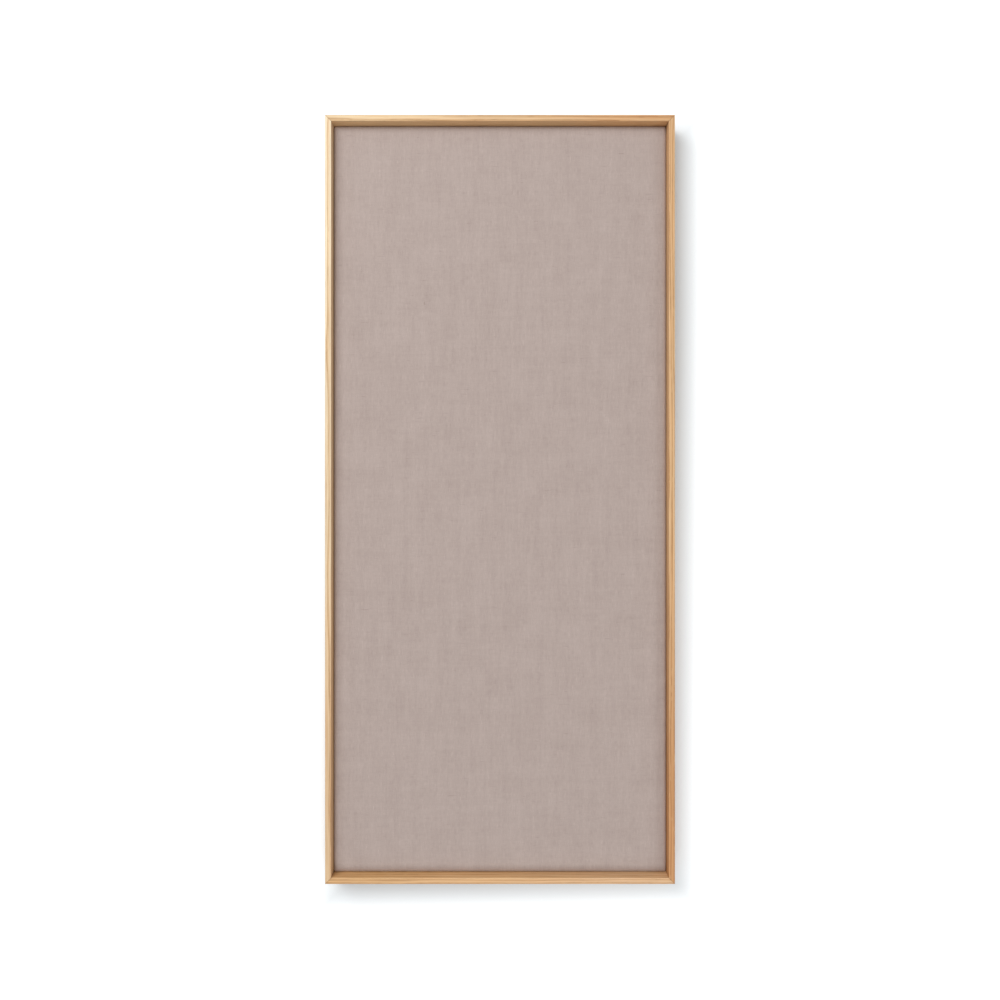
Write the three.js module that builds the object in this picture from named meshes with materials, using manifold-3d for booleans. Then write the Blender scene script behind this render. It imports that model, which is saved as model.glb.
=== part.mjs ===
// A tall memo board for a wall. A slim oak tray frame holds a linen-covered cork panel, which is
// screwed to the frame's ledge from behind. The board hangs on two strap hangers with D-rings.
//
// Sizes are in millimetres. x runs across the board, z up, and y from the front to the wall.
// The origin is on the plane of the wall, midway between the two hooks that hold the D-rings.
import * as THREE from "three";
import { mergeVertices } from "three/addons/utils/BufferGeometryUtils.js";
import Module from "manifold-3d";

const wasm = await Module();
wasm.setup();

// The outside of the frame.
const boardWidth = 455;
const boardHeight = 1000;
const frameDepth = 30;

// The L-shaped section of the oak: a wall that shows from the front and a ledge behind the panel.
const wallThickness = 8;
const ledgeWidth = 14;
const ledgeThickness = 7;
const easedEdge = 0.8;
const mitreGap = 0.2;

// The V-shaped nails that pull the mitres together, driven in from the back.
const vNailHeight = 10;
const vNailThickness = 0.6;
const vNailCover = 1.8;

// The panel's layers, and what it keeps clear of.
const panelClearance = 0.4;
const seatGap = 0.2;
const linenThickness = 0.8;
const linenTurnIn = 28;
const linenFoldSlit = 0.5;
const fibreboardThickness = 3;
const corkThickness = 6;
const corkEdgeRadius = 2.5;
const panelCornerRadius = 1.5;

// The countersunk screws that hold the panel to the ledge.
const panelScrewHead = 7;
const panelScrewRim = 0.3;
const panelScrewShank = 3.2;
const panelScrewTip = 2.2;
const panelScrewBite = 1.6;
const panelScrewEndInset = 60;
const screwsPerStile = 4;
const screwsPerRail = 2;
const screwClearance = 0.25;

// The strap hangers: a steel strip folded round the straight side of a D-ring.
const hangerDrop = 200;
const strapWidth = 11;
const strapThickness = 0.8;
const strapLayerGap = 0.3;
const strapEndMargin = 6;
const ringWire = 2;
const ringClearance = 0.25;
const ringSidePlay = 0.5;
const ringLeg = 5;
const ringStopGap = 0.3;

// The round-headed screws of the hangers, and the crossed slots in every screw head.
const hangerScrewHead = 6;
const hangerScrewHeadRim = 0.6;
const hangerScrewHeadDome = 1.3;
const hangerScrewShank = 3;
const hangerScrewTip = 2;
const hangerScrewCover = 1;
const hangerScrewFromRing = 2;
const hangerScrewSpacing = 6;
const crossSlotLength = 3.6;
const crossSlotWidth = 0.9;
const crossSlotDepth = 1.2;

// The soft pads that keep the board off the wall.
const padDiameter = 12;
const padThickness = 5;
const padChamfer = 0.8;
const padEndInset = 30;

// The angles of bent pieces, in degrees, and how far a cutting solid runs past what it cuts.
const vNailAngle = 100;
const strapLoopEnd = 150;
const overrun = 1;

// How many straight steps stand for a round shape.
const edgeSteps = 3;
const bendSteps = 10;
const ringEndSteps = 18;
const wireSides = 10;
const screwSides = 16;
const padSides = 32;

// Depths in the frame, counted from its back towards its front.
const frameBack = -padThickness;
const linenBackDepth = ledgeThickness + seatGap;
const fibreboardDepth = linenBackDepth + linenThickness + seatGap;
const corkDepth = fibreboardDepth + fibreboardThickness + seatGap;
const linenInsideDepth = corkDepth + corkThickness + seatGap;
const linenFrontDepth = linenInsideDepth + linenThickness;
const panelScrewLength = corkDepth + panelScrewBite;

// Insets from the frame's outer faces.
const backWidth = wallThickness + ledgeWidth;
const linenInset = wallThickness + panelClearance;
const coreInset = linenInset + linenThickness + seatGap;
const panelScrewInset = wallThickness + ledgeWidth / 2;
const vNailFromCorner = Math.SQRT2 * (wallThickness - vNailCover);

// The hangers. Heights above the frame's back first, then distances down from the ring's axis.
const ringAxisHeight = strapThickness + ringClearance + ringWire / 2;
const strapTop = 2 * strapThickness + strapLayerGap;
const ringRadius = strapWidth / 2 + ringSidePlay + ringWire;
const ringReach = ringRadius + ringLeg;
const hangerScrewPitch = hangerScrewHead + hangerScrewSpacing;
const hangerScrewDrop = ringReach + ringWire / 2 + hangerScrewFromRing + hangerScrewHead / 2;
const hangerScrewDrops = [hangerScrewDrop, hangerScrewDrop + hangerScrewPitch];
const strapLength = hangerScrewDrop + hangerScrewPitch + strapEndMargin;
const hangerScrewDepth = ledgeThickness - hangerScrewCover;

// Where the hooks and the hangers' axes are, measured up from the board's middle.
const hangerZ = boardHeight / 2 - hangerDrop;
const hookZ = hangerZ + ringReach - ringWire / 2;

const oak = new THREE.MeshStandardMaterial({ name: "oak", color: 0xd9b07c, roughness: 0.55 });
const linen = new THREE.MeshStandardMaterial({ name: "linen", color: 0xbaa9a1, roughness: 0.95 });
const cork = new THREE.MeshStandardMaterial({ name: "cork", color: 0xb58a5c, roughness: 0.9 });
const fibreboard = new THREE.MeshStandardMaterial({ name: "fibreboard", color: 0x8a6a4a, roughness: 0.8 });
const padRubber = new THREE.MeshStandardMaterial({ name: "pad_rubber", color: 0x2e2d2c, roughness: 0.85 });
const zincSteel = new THREE.MeshStandardMaterial({
  name: "zinc_steel",
  color: 0xc4c6c8,
  roughness: 0.35,
  metalness: 0.9,
});

/** A closed solid from a geometry, with its shared corners merged. */
function solidOf(geometry) {
  const bare = geometry.clone();
  bare.deleteAttribute("normal");
  bare.deleteAttribute("uv");
  const merged = mergeVertices(bare);
  return new wasm.Manifold(
    new wasm.Mesh({
      numProp: 3,
      vertProperties: merged.getAttribute("position").array,
      triVerts: new Uint32Array(merged.index.array),
    }),
  );
}

/** A flat-shaded geometry from corner positions and the triangles between them. */
function flatShaded(positions, triangles) {
  const indexed = new THREE.BufferGeometry();
  indexed.setAttribute("position", new THREE.Float32BufferAttribute(positions, 3));
  indexed.setIndex(Array.from(triangles));
  const flat = indexed.toNonIndexed();
  flat.computeVertexNormals();
  return flat;
}

/** A geometry from a solid. */
function geometryOf(solid) {
  const { vertProperties, triVerts } = solid.getMesh();
  return flatShaded(vertProperties, triVerts);
}

/** A geometry with the cutting geometries taken away from it. */
function cutBy(geometry, cutters) {
  const cut = cutters.reduce((rest, cutter) => rest.subtract(solidOf(cutter)), solidOf(geometry));
  return geometryOf(cut);
}

/** A named mesh at a place. */
function placed(name, geometry, material, x = 0, y = 0, z = 0) {
  const mesh = new THREE.Mesh(geometry, material);
  mesh.name = name;
  mesh.position.set(x, y, z);
  return mesh;
}

/** The points of an arc about (x, y), both ends among them. */
function arcPoints(x, y, radius, from, to, steps) {
  return Array.from({ length: steps + 1 }, (_, step) => {
    const angle = from + ((to - from) * step) / steps;
    return new THREE.Vector2(x + radius * Math.cos(angle), y + radius * Math.sin(angle));
  });
}

/** The points of an anticlockwise polygon whose corners [x, y, radius] are rounded by arcs. */
function roundedPolygon(corners) {
  return corners.flatMap(([x, y, radius = 0], i) => {
    const corner = new THREE.Vector2(x, y);
    if (radius === 0) return [corner];
    const [beforeX, beforeY] = corners.at(i - 1);
    const [afterX, afterY] = corners[(i + 1) % corners.length];
    const before = new THREE.Vector2(beforeX, beforeY).sub(corner).normalize();
    const after = new THREE.Vector2(afterX, afterY).sub(corner).normalize();
    const halfAngle = Math.acos(before.dot(after)) / 2;
    const inward = before.clone().add(after).normalize();
    const centre = inward.multiplyScalar(radius / Math.sin(halfAngle)).add(corner);
    const start = new THREE.Vector2(-before.y, before.x).angle();
    const turn = Math.PI - 2 * halfAngle;
    return arcPoints(centre.x, centre.y, radius, start, start + turn, edgeSteps);
  });
}

/** An anticlockwise rectangle about the origin with rounded corners. */
function roundedRectangle(halfWidth, halfHeight, radius) {
  return roundedPolygon([
    [-halfWidth, -halfHeight, radius],
    [halfWidth, -halfHeight, radius],
    [halfWidth, halfHeight, radius],
    [-halfWidth, halfHeight, radius],
  ]);
}

/** Triangles that join two rings of points, each given by the index of its first point. */
function bandBetween(first, second, count) {
  return Array.from({ length: count }, (_, i) => {
    const next = (i + 1) % count;
    return [first + i, first + next, second + next, first + i, second + next, second + i];
  });
}

/** A plate with an outline in (x, z), from y = 0 forwards. */
function plate(points, thickness) {
  const basis = new THREE.Matrix4().makeBasis(
    new THREE.Vector3(1, 0, 0),
    new THREE.Vector3(0, 0, 1),
    new THREE.Vector3(0, -1, 0),
  );
  const options = { depth: thickness, bevelEnabled: false };
  return new THREE.ExtrudeGeometry(new THREE.Shape(points), options).applyMatrix4(basis);
}

/** A slab whose rounded outline is drawn in by an inset at each depth, from the back to the front. */
function loftedSlab(halfWidth, halfHeight, radius, levels) {
  const rings = levels.map(([depth, inset]) =>
    roundedRectangle(halfWidth - inset, halfHeight - inset, radius).map((p) => [p.x, -depth, p.y]),
  );
  const count = rings[0].length;
  const last = (rings.length - 1) * count;
  const bands = rings.slice(1).map((_, i) => bandBetween(i * count, (i + 1) * count, count));
  const fan = Array.from({ length: count - 2 }, (_, i) => [i + 1, i + 2]);
  const backCap = fan.map(([a, b]) => [0, b, a]);
  const frontCap = fan.map(([a, b]) => [last, last + a, last + b]);
  return flatShaded(rings.flat(2), [bands, backCap, frontCap].flat(3));
}

/** The levels of a slab whose front edge is rounded. */
function roundedFrontLevels(back, front, radius) {
  const arc = arcPoints(front - radius, radius, radius, -Math.PI / 2, 0, edgeSteps);
  return [[back, 0], ...arc.map((p) => [p.x, p.y])];
}

/** A turned solid from its half outline of [radius, y] points, from the bottom up. */
function turned(outline, sides = screwSides) {
  return new THREE.LatheGeometry(outline.map(([r, y]) => new THREE.Vector2(r, y)), sides);
}

// The four sides of the frame. A side's own x runs along it and its own z points into the frame.
// x and z are -1, 0 or 1, and up says which way its own x leads: 1 upwards, -1 downwards, 0 level.
const sides = [
  { name: "bottom", node: "rail_bottom", length: boardWidth, turn: 0, x: 0, z: -1, up: 0 },
  { name: "right", node: "stile_right", length: boardHeight, turn: -Math.PI / 2, x: 1, z: 0, up: 1 },
  { name: "top", node: "rail_top", length: boardWidth, turn: Math.PI, x: 0, z: 1, up: 0 },
  { name: "left", node: "stile_left", length: boardHeight, turn: Math.PI / 2, x: -1, z: 0, up: -1 },
];

// The four corners, each with the turn that points its own x along the mitre into the frame.
const corners = [
  { name: "bottom_left", x: -1, z: -1, turn: -Math.PI / 4 },
  { name: "bottom_right", x: 1, z: -1, turn: (-3 * Math.PI) / 4 },
  { name: "top_right", x: 1, z: 1, turn: (3 * Math.PI) / 4 },
  { name: "top_left", x: -1, z: 1, turn: Math.PI / 4 },
];

/** The L-shaped section of the oak as (inset, height above the back). */
function railSection() {
  return roundedPolygon([
    [0, 0, easedEdge],
    [backWidth, 0, easedEdge],
    [backWidth, ledgeThickness, easedEdge],
    [wallThickness, ledgeThickness],
    [wallThickness, frameDepth, easedEdge],
    [0, frameDepth, easedEdge],
  ]);
}

/** A bar along x with both ends mitred, its outer face at z = 0 and its back at y = 0. */
function mitredBar(section, length) {
  const count = section.length;
  const ends = [-1, 1].flatMap((end) =>
    section.map((p) => [end * (length / 2 - p.x - mitreGap / 2), -p.y, p.x]),
  );
  const cap = THREE.ShapeUtils.triangulateShape(section, []);
  const nearCap = cap.map(([a, b, c]) => [a, c, b]);
  const farCap = cap.map((face) => face.map((i) => i + count));
  return flatShaded(ends.flat(), [bandBetween(0, count, count), nearCap, farCap].flat(2));
}

/** A V-nail at its place on the diagonal of a corner, from y = lift forwards, grown by a clearance. */
function vNail(clearance = 0, lift = 0) {
  const halfAngle = THREE.MathUtils.degToRad(vNailAngle / 2);
  const [cosine, sine] = [Math.cos(halfAngle), Math.sin(halfAngle)];
  const wing = (Math.SQRT2 * (wallThickness - 2 * vNailCover)) / (cosine + sine) + clearance;
  const half = vNailThickness / 2 + clearance;
  const tip = half / sine;
  const outer = new THREE.Vector2(half * sine - wing * cosine, half * cosine + wing * sine);
  const inner = new THREE.Vector2(-half * sine - wing * cosine, -half * cosine + wing * sine);
  const outline = [
    new THREE.Vector2(tip, 0),
    outer,
    inner,
    new THREE.Vector2(-tip, 0),
    new THREE.Vector2(inner.x, -inner.y),
    new THREE.Vector2(outer.x, -outer.y),
  ];
  return plate(outline, vNailHeight + clearance + lift).translate(vNailFromCorner, lift, 0);
}

/** A point on the outer faces of the frame at its back: the middle of a side, or a corner. */
function outerEdge(place) {
  return new THREE.Vector3((place.x * boardWidth) / 2, 0, (place.z * boardHeight) / 2);
}

/** Where the panel screws stand along a side, with the end ones a set distance from its ends. */
function panelScrewsAlong(side) {
  const count = side.up === 0 ? screwsPerRail : screwsPerStile;
  const reach = side.length / 2 - panelScrewEndInset;
  return Array.from({ length: count }, (_, i) => -reach + (2 * reach * i) / (count - 1));
}

/** The places of all the panel screws, with their names. */
function panelScrewPlaces() {
  return sides.flatMap((side) =>
    panelScrewsAlong(side).map((along, i) => {
      const { x, z } = new THREE.Vector3(along, 0, panelScrewInset)
        .applyAxisAngle(new THREE.Vector3(0, 1, 0), side.turn)
        .add(outerEdge(side));
      return { name: `panel_screw_${side.name}_${i + 1}`, x, z };
    }),
  );
}

/** A hole that a panel screw fills, with room all round. */
function panelScrewHole() {
  const head = panelScrewHead / 2 + screwClearance;
  const shank = panelScrewShank / 2 + screwClearance;
  const bottom = -panelScrewLength - screwClearance;
  return turned([
    [0, bottom],
    [shank, bottom],
    [shank, shank - head - panelScrewRim],
    [head, -panelScrewRim],
    [head, overrun],
    [0, overrun],
  ]);
}

/** The holes through the panel's layers for its screws. */
function panelHoles() {
  return panelScrewPlaces().map(({ x, z }) => panelScrewHole().translate(x, 0, z));
}

/** One side of the oak frame, with its screw holes and the slots of its V-nails. */
function frameSide(side) {
  const screwHoles = panelScrewsAlong(side).map((along) =>
    panelScrewHole().translate(along, 0, panelScrewInset),
  );
  const nailSlots = [-1, 1].map((end) =>
    vNail(screwClearance, overrun)
      .rotateY(end < 0 ? -Math.PI / 4 : (-3 * Math.PI) / 4)
      .translate((end * side.length) / 2, 0, 0),
  );
  const pilotRadius = hangerScrewShank / 2 + screwClearance;
  const pilotDepth = hangerScrewDepth + screwClearance;
  const pilotHoles = hangerScrewDrops.map((drop) =>
    new THREE.CylinderGeometry(pilotRadius, pilotRadius, pilotDepth + overrun, screwSides).translate(
      side.up * (hangerZ - drop),
      (overrun - pilotDepth) / 2,
      backWidth / 2,
    ),
  );
  const cuts = [...screwHoles, ...nailSlots, ...(side.up === 0 ? [] : pilotHoles)];
  const bar = cutBy(mitredBar(railSection(), side.length), cuts);
  const { x, z } = outerEdge(side);
  const mesh = placed(side.node, bar, oak, x, frameBack, z);
  mesh.rotation.y = side.turn;
  return mesh;
}

/** The V-nail of one corner. */
function cornerNail(corner) {
  const { x, z } = outerEdge(corner);
  const nail = placed(`corner_v_nail_${corner.name}`, vNail(), zincSteel, x, frameBack, z);
  nail.rotation.y = corner.turn;
  return nail;
}

/** Half the width and half the height of what starts at an inset from the frame's outer faces. */
function halfSize(inset) {
  return [boardWidth / 2 - inset, boardHeight / 2 - inset];
}

/** The linen, stretched over the front and turned in over the back, with a fold at each corner. */
function linenCover() {
  const [halfWidth, halfHeight] = halfSize(linenInset);
  const insideRadius = corkEdgeRadius + seatGap;
  const outside = loftedSlab(
    halfWidth,
    halfHeight,
    panelCornerRadius + linenThickness,
    roundedFrontLevels(linenBackDepth, linenFrontDepth, insideRadius + linenThickness),
  );
  const inside = loftedSlab(
    halfWidth - linenThickness,
    halfHeight - linenThickness,
    panelCornerRadius,
    roundedFrontLevels(linenBackDepth + linenThickness, linenInsideDepth, insideRadius),
  );
  const cutDepth = linenThickness + 2 * overrun;
  const opening = plate(
    roundedRectangle(halfWidth - linenTurnIn, halfHeight - linenTurnIn, panelCornerRadius),
    cutDepth,
  ).translate(0, overrun - linenBackDepth, 0);
  const foldStart = linenThickness * Math.SQRT2 + panelCornerRadius;
  const foldLength = linenTurnIn * Math.SQRT2;
  const folds = corners.map((corner) =>
    new THREE.BoxGeometry(foldLength, cutDepth, linenFoldSlit)
      .translate(foldStart + foldLength / 2, overrun - linenBackDepth - cutDepth / 2, 0)
      .rotateY(corner.turn)
      .translate(corner.x * halfWidth, 0, corner.z * halfHeight),
  );
  return placed("linen_cover", cutBy(outside, [inside, opening, ...folds, ...panelHoles()]), linen);
}

/** The fibreboard that stiffens the panel and takes the screws. */
function fibreboardBack() {
  const outline = roundedRectangle(...halfSize(coreInset), panelCornerRadius);
  const sheet = plate(outline, fibreboardThickness).translate(0, -fibreboardDepth, 0);
  return placed("fibreboard_back", cutBy(sheet, panelHoles()), fibreboard);
}

/** The cork that takes the pins, with its front edges rounded off. */
function corkCore() {
  const levels = roundedFrontLevels(corkDepth, corkDepth + corkThickness, corkEdgeRadius);
  const slab = loftedSlab(...halfSize(coreInset), panelCornerRadius, levels);
  return placed("cork_core", cutBy(slab, panelHoles()), cork);
}

/** The crossed slots of a screw head whose top is at a height. */
function crossSlots(top) {
  const slot = new THREE.BoxGeometry(crossSlotLength, crossSlotDepth + overrun, crossSlotWidth);
  slot.translate(0, top + (overrun - crossSlotDepth) / 2, 0);
  return [slot, slot.clone().rotateY(Math.PI / 2)];
}

/** A countersunk panel screw, flush with the frame's back. */
function panelScrew({ name, x, z }) {
  const head = panelScrewHead / 2;
  const shank = panelScrewShank / 2;
  const body = turned([
    [0, -panelScrewLength],
    [shank, panelScrewTip - panelScrewLength],
    [shank, shank - head - panelScrewRim],
    [head, -panelScrewRim],
    [head, 0],
    [0, 0],
  ]);
  return placed(name, cutBy(body, crossSlots(0)), zincSteel, x, 0, z);
}

/** The outline of a strip of even thickness about a path of points. */
function stripOutline(path, thickness) {
  const edge = (sign) =>
    path.map((p, i) => {
      const arriving = p.clone().sub(path[Math.max(i - 1, 0)]).normalize();
      const leaving = path[Math.min(i + 1, path.length - 1)].clone().sub(p).normalize();
      const segment = i === 0 ? leaving : arriving;
      const along = arriving.clone().add(leaving).normalize();
      const reach = (sign * thickness) / (2 * along.dot(segment));
      return new THREE.Vector2(-along.y, along.x).multiplyScalar(reach).add(p);
    });
  return [...edge(-1), ...edge(1).reverse()];
}

/** The middle of the strap's thickness in (z, y): up the back layer, round the wire, down the front. */
function strapPath() {
  const radius = ringAxisHeight - strapThickness / 2;
  const loopEnd = THREE.MathUtils.degToRad(strapLoopEnd);
  const loop = arcPoints(0, ringAxisHeight, radius, -Math.PI / 2, loopEnd, bendSteps);
  const frontLayer = strapTop - strapThickness / 2;
  const run = (frontLayer - loop.at(-1).y) * Math.tan(loopEnd);
  return [
    new THREE.Vector2(-strapLength, strapThickness / 2),
    ...loop,
    new THREE.Vector2(loop.at(-1).x - run, frontLayer),
    new THREE.Vector2(-strapLength, frontLayer),
  ];
}

/** The folded strap, its underside at y = 0, with a round end and two screw holes. */
function hangerStrap() {
  const basis = new THREE.Matrix4().makeBasis(
    new THREE.Vector3(0, 0, 1),
    new THREE.Vector3(0, 1, 0),
    new THREE.Vector3(-1, 0, 0),
  );
  const side = new THREE.Shape(stripOutline(strapPath(), strapThickness));
  const strip = new THREE.ExtrudeGeometry(side, { depth: strapWidth, bevelEnabled: false });
  strip.translate(0, 0, -strapWidth / 2).applyMatrix4(basis);
  const endRadius = strapWidth / 2;
  const top = 2 * ringAxisHeight;
  const plan = [
    new THREE.Vector2(-endRadius - overrun, top),
    new THREE.Vector2(-endRadius - overrun, endRadius - strapLength),
    ...arcPoints(0, endRadius - strapLength, endRadius, -Math.PI, 0, bendSteps),
    new THREE.Vector2(endRadius + overrun, endRadius - strapLength),
    new THREE.Vector2(endRadius + overrun, top),
  ];
  const trim = plate(plan, top + 2 * overrun).translate(0, top + overrun, 0);
  const holeRadius = hangerScrewShank / 2 + screwClearance;
  const holes = hangerScrewDrops.map((drop) =>
    new THREE.CylinderGeometry(holeRadius, holeRadius, 2 * top, screwSides).translate(0, 0, -drop),
  );
  return cutBy(geometryOf(solidOf(strip).intersect(solidOf(trim))), holes);
}

/** The middle of the ring's wire as (x, z): a straight side on the axis, two legs and a round end. */
function ringPath() {
  const straightSide = roundedPolygon([
    [-ringRadius, -ringLeg],
    [ringRadius, -ringLeg],
    [ringRadius, 0, ringWire],
    [-ringRadius, 0, ringWire],
  ]);
  return [...arcPoints(0, -ringLeg, ringRadius, -Math.PI, 0, ringEndSteps), ...straightSide.slice(2)];
}

/** The D-ring as a closed wire in the x-z plane, its straight side on the x axis. */
function hangerRing() {
  const path = ringPath();
  const positions = path.flatMap((p, i) => {
    const along = path[(i + 1) % path.length].clone().sub(path.at(i - 1)).normalize();
    return Array.from({ length: wireSides }, (_, side) => {
      const angle = (2 * Math.PI * side) / wireSides;
      const out = (Math.cos(angle) * ringWire) / 2;
      return [p.x + along.y * out, (Math.sin(angle) * ringWire) / 2, p.y - along.x * out];
    });
  });
  const bands = path.map((_, i) =>
    bandBetween(i * wireSides, ((i + 1) % path.length) * wireSides, wireSides),
  );
  return flatShaded(positions.flat(), bands.flat(2));
}

/** How far the hanging ring leans out: its wire lies on the strap where it crosses the strap's edges. */
function ringRestAngle() {
  const crossing = ringLeg + Math.sqrt(ringRadius ** 2 - (strapWidth / 2) ** 2);
  return Math.asin((strapTop + ringStopGap + ringWire / 2 - ringAxisHeight) / crossing);
}

/** A round-headed screw of a hanger, the underside of its head on the strap. */
function hangerScrew() {
  const head = hangerScrewHead / 2;
  const shank = hangerScrewShank / 2;
  const end = -strapTop - hangerScrewDepth;
  const top = hangerScrewHeadRim + hangerScrewHeadDome;
  const dome = arcPoints(0, 0, 1, 0, Math.PI / 2, edgeSteps).slice(0, -1);
  const body = turned([
    [0, end],
    [shank, end + hangerScrewTip],
    [shank, 0],
    [head, 0],
    ...dome.map((p) => [head * p.x, hangerScrewHeadRim + hangerScrewHeadDome * p.y]),
    [0, top],
  ]);
  return cutBy(body, crossSlots(top)).translate(0, strapTop, 0);
}

/** A strap hanger on one stile: the strap, the ring and two screws. */
function hanger(name, direction) {
  const group = new THREE.Group();
  group.position.set((direction * (boardWidth - backWidth)) / 2, frameBack, hangerZ);
  const ring = placed(`hanger_ring_${name}`, hangerRing(), zincSteel, 0, ringAxisHeight, 0);
  ring.rotation.x = ringRestAngle();
  const screws = hangerScrewDrops.map((drop, i) =>
    placed(`hanger_screw_${name}_${i + 1}`, hangerScrew(), zincSteel, 0, 0, -drop),
  );
  group.add(placed(`hanger_strap_${name}`, hangerStrap(), zincSteel), ring, ...screws);
  return group;
}

/** A round pad at one corner of the back, chamfered where it meets the wall. */
function wallPad(corner) {
  const radius = padDiameter / 2;
  const outline = [
    [0, 0],
    [radius, 0],
    [radius, padThickness - padChamfer],
    [radius - padChamfer, padThickness],
    [0, padThickness],
  ];
  const x = (corner.x * (boardWidth - backWidth)) / 2;
  const z = corner.z * (boardHeight / 2 - padEndInset);
  return placed(`wall_pad_${corner.name}`, turned(outline, padSides), padRubber, x, frameBack, z);
}

const frame = new THREE.Group();
frame.add(...sides.map(frameSide), ...corners.map(cornerNail));

const panel = new THREE.Group();
panel.position.y = frameBack;
panel.add(fibreboardBack(), corkCore(), linenCover(), ...panelScrewPlaces().map(panelScrew));

const board = new THREE.Group();
board.position.z = -hookZ;
board.add(frame, panel, hanger("left", -1), hanger("right", 1), ...corners.map(wallPad));

const memoBoard = new THREE.Group();
memoBoard.name = "memo_board";
memoBoard.add(board);

export default memoBoard;
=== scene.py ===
"""A tall memo board on a white wall: a slim oak tray frame round a linen-covered cork panel.

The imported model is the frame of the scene. Every length here is in metres in that frame: x to the
right, y from the front of the board to the wall, and z up, with the origin on the wall midway
between the two hooks. The oak slats, the cork, the fibreboard and the V-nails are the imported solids
with their finishes. The linen, the hangers, the screws, the staples and the pads are modelled here.
"""

import logging
import math
import random
from collections.abc import Callable, Iterator, Sequence
from dataclasses import dataclass, field
from enum import Enum

import bmesh
import bpy
from mathutils import Matrix, Vector, noise

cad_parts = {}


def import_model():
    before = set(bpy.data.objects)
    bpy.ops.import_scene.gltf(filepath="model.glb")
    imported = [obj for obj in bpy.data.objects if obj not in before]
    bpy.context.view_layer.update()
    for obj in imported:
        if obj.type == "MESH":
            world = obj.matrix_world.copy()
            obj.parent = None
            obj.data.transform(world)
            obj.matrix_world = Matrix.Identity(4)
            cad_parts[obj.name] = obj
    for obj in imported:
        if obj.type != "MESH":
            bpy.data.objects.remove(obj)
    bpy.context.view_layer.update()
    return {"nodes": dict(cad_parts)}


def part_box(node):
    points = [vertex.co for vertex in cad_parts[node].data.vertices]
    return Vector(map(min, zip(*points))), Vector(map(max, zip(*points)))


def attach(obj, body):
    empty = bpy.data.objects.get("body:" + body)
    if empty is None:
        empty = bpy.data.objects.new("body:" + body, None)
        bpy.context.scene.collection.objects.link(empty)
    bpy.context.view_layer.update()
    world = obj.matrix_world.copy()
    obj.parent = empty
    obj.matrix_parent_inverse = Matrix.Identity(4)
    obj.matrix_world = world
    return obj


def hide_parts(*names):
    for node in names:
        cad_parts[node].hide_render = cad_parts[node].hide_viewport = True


LOG = logging.getLogger("memo_board")

Shape = bmesh.types.BMesh
Edge = bmesh.types.BMEdge
Layer = bmesh.types.BMLayerItem
Thing = bpy.types.Object
Material = bpy.types.Material
Colour = tuple[float, float, float]
Points = Sequence[tuple[float, float]]

X_AXIS = Vector((1.0, 0.0, 0.0))
Y_AXIS = Vector((0.0, 1.0, 0.0))
Z_AXIS = Vector((0.0, 0.0, 1.0))
UPRIGHT = Matrix.Rotation(math.pi / 2, 4, "X")

WELD = 1e-6
SHARP_ANGLE = math.radians(34)
WHITE = (1.0, 1.0, 1.0, 1.0)


class Slot(Enum):
    """The material slots of the record that the modelled pieces take their finishes from."""

    LINEN = "linen"
    ZINC_STEEL = "zinc_steel"
    PAD_RUBBER = "pad_rubber"


class Grain(Enum):
    """The way that a slat's grain runs."""

    LEVEL = "level"
    UPRIGHT = "upright"


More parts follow.
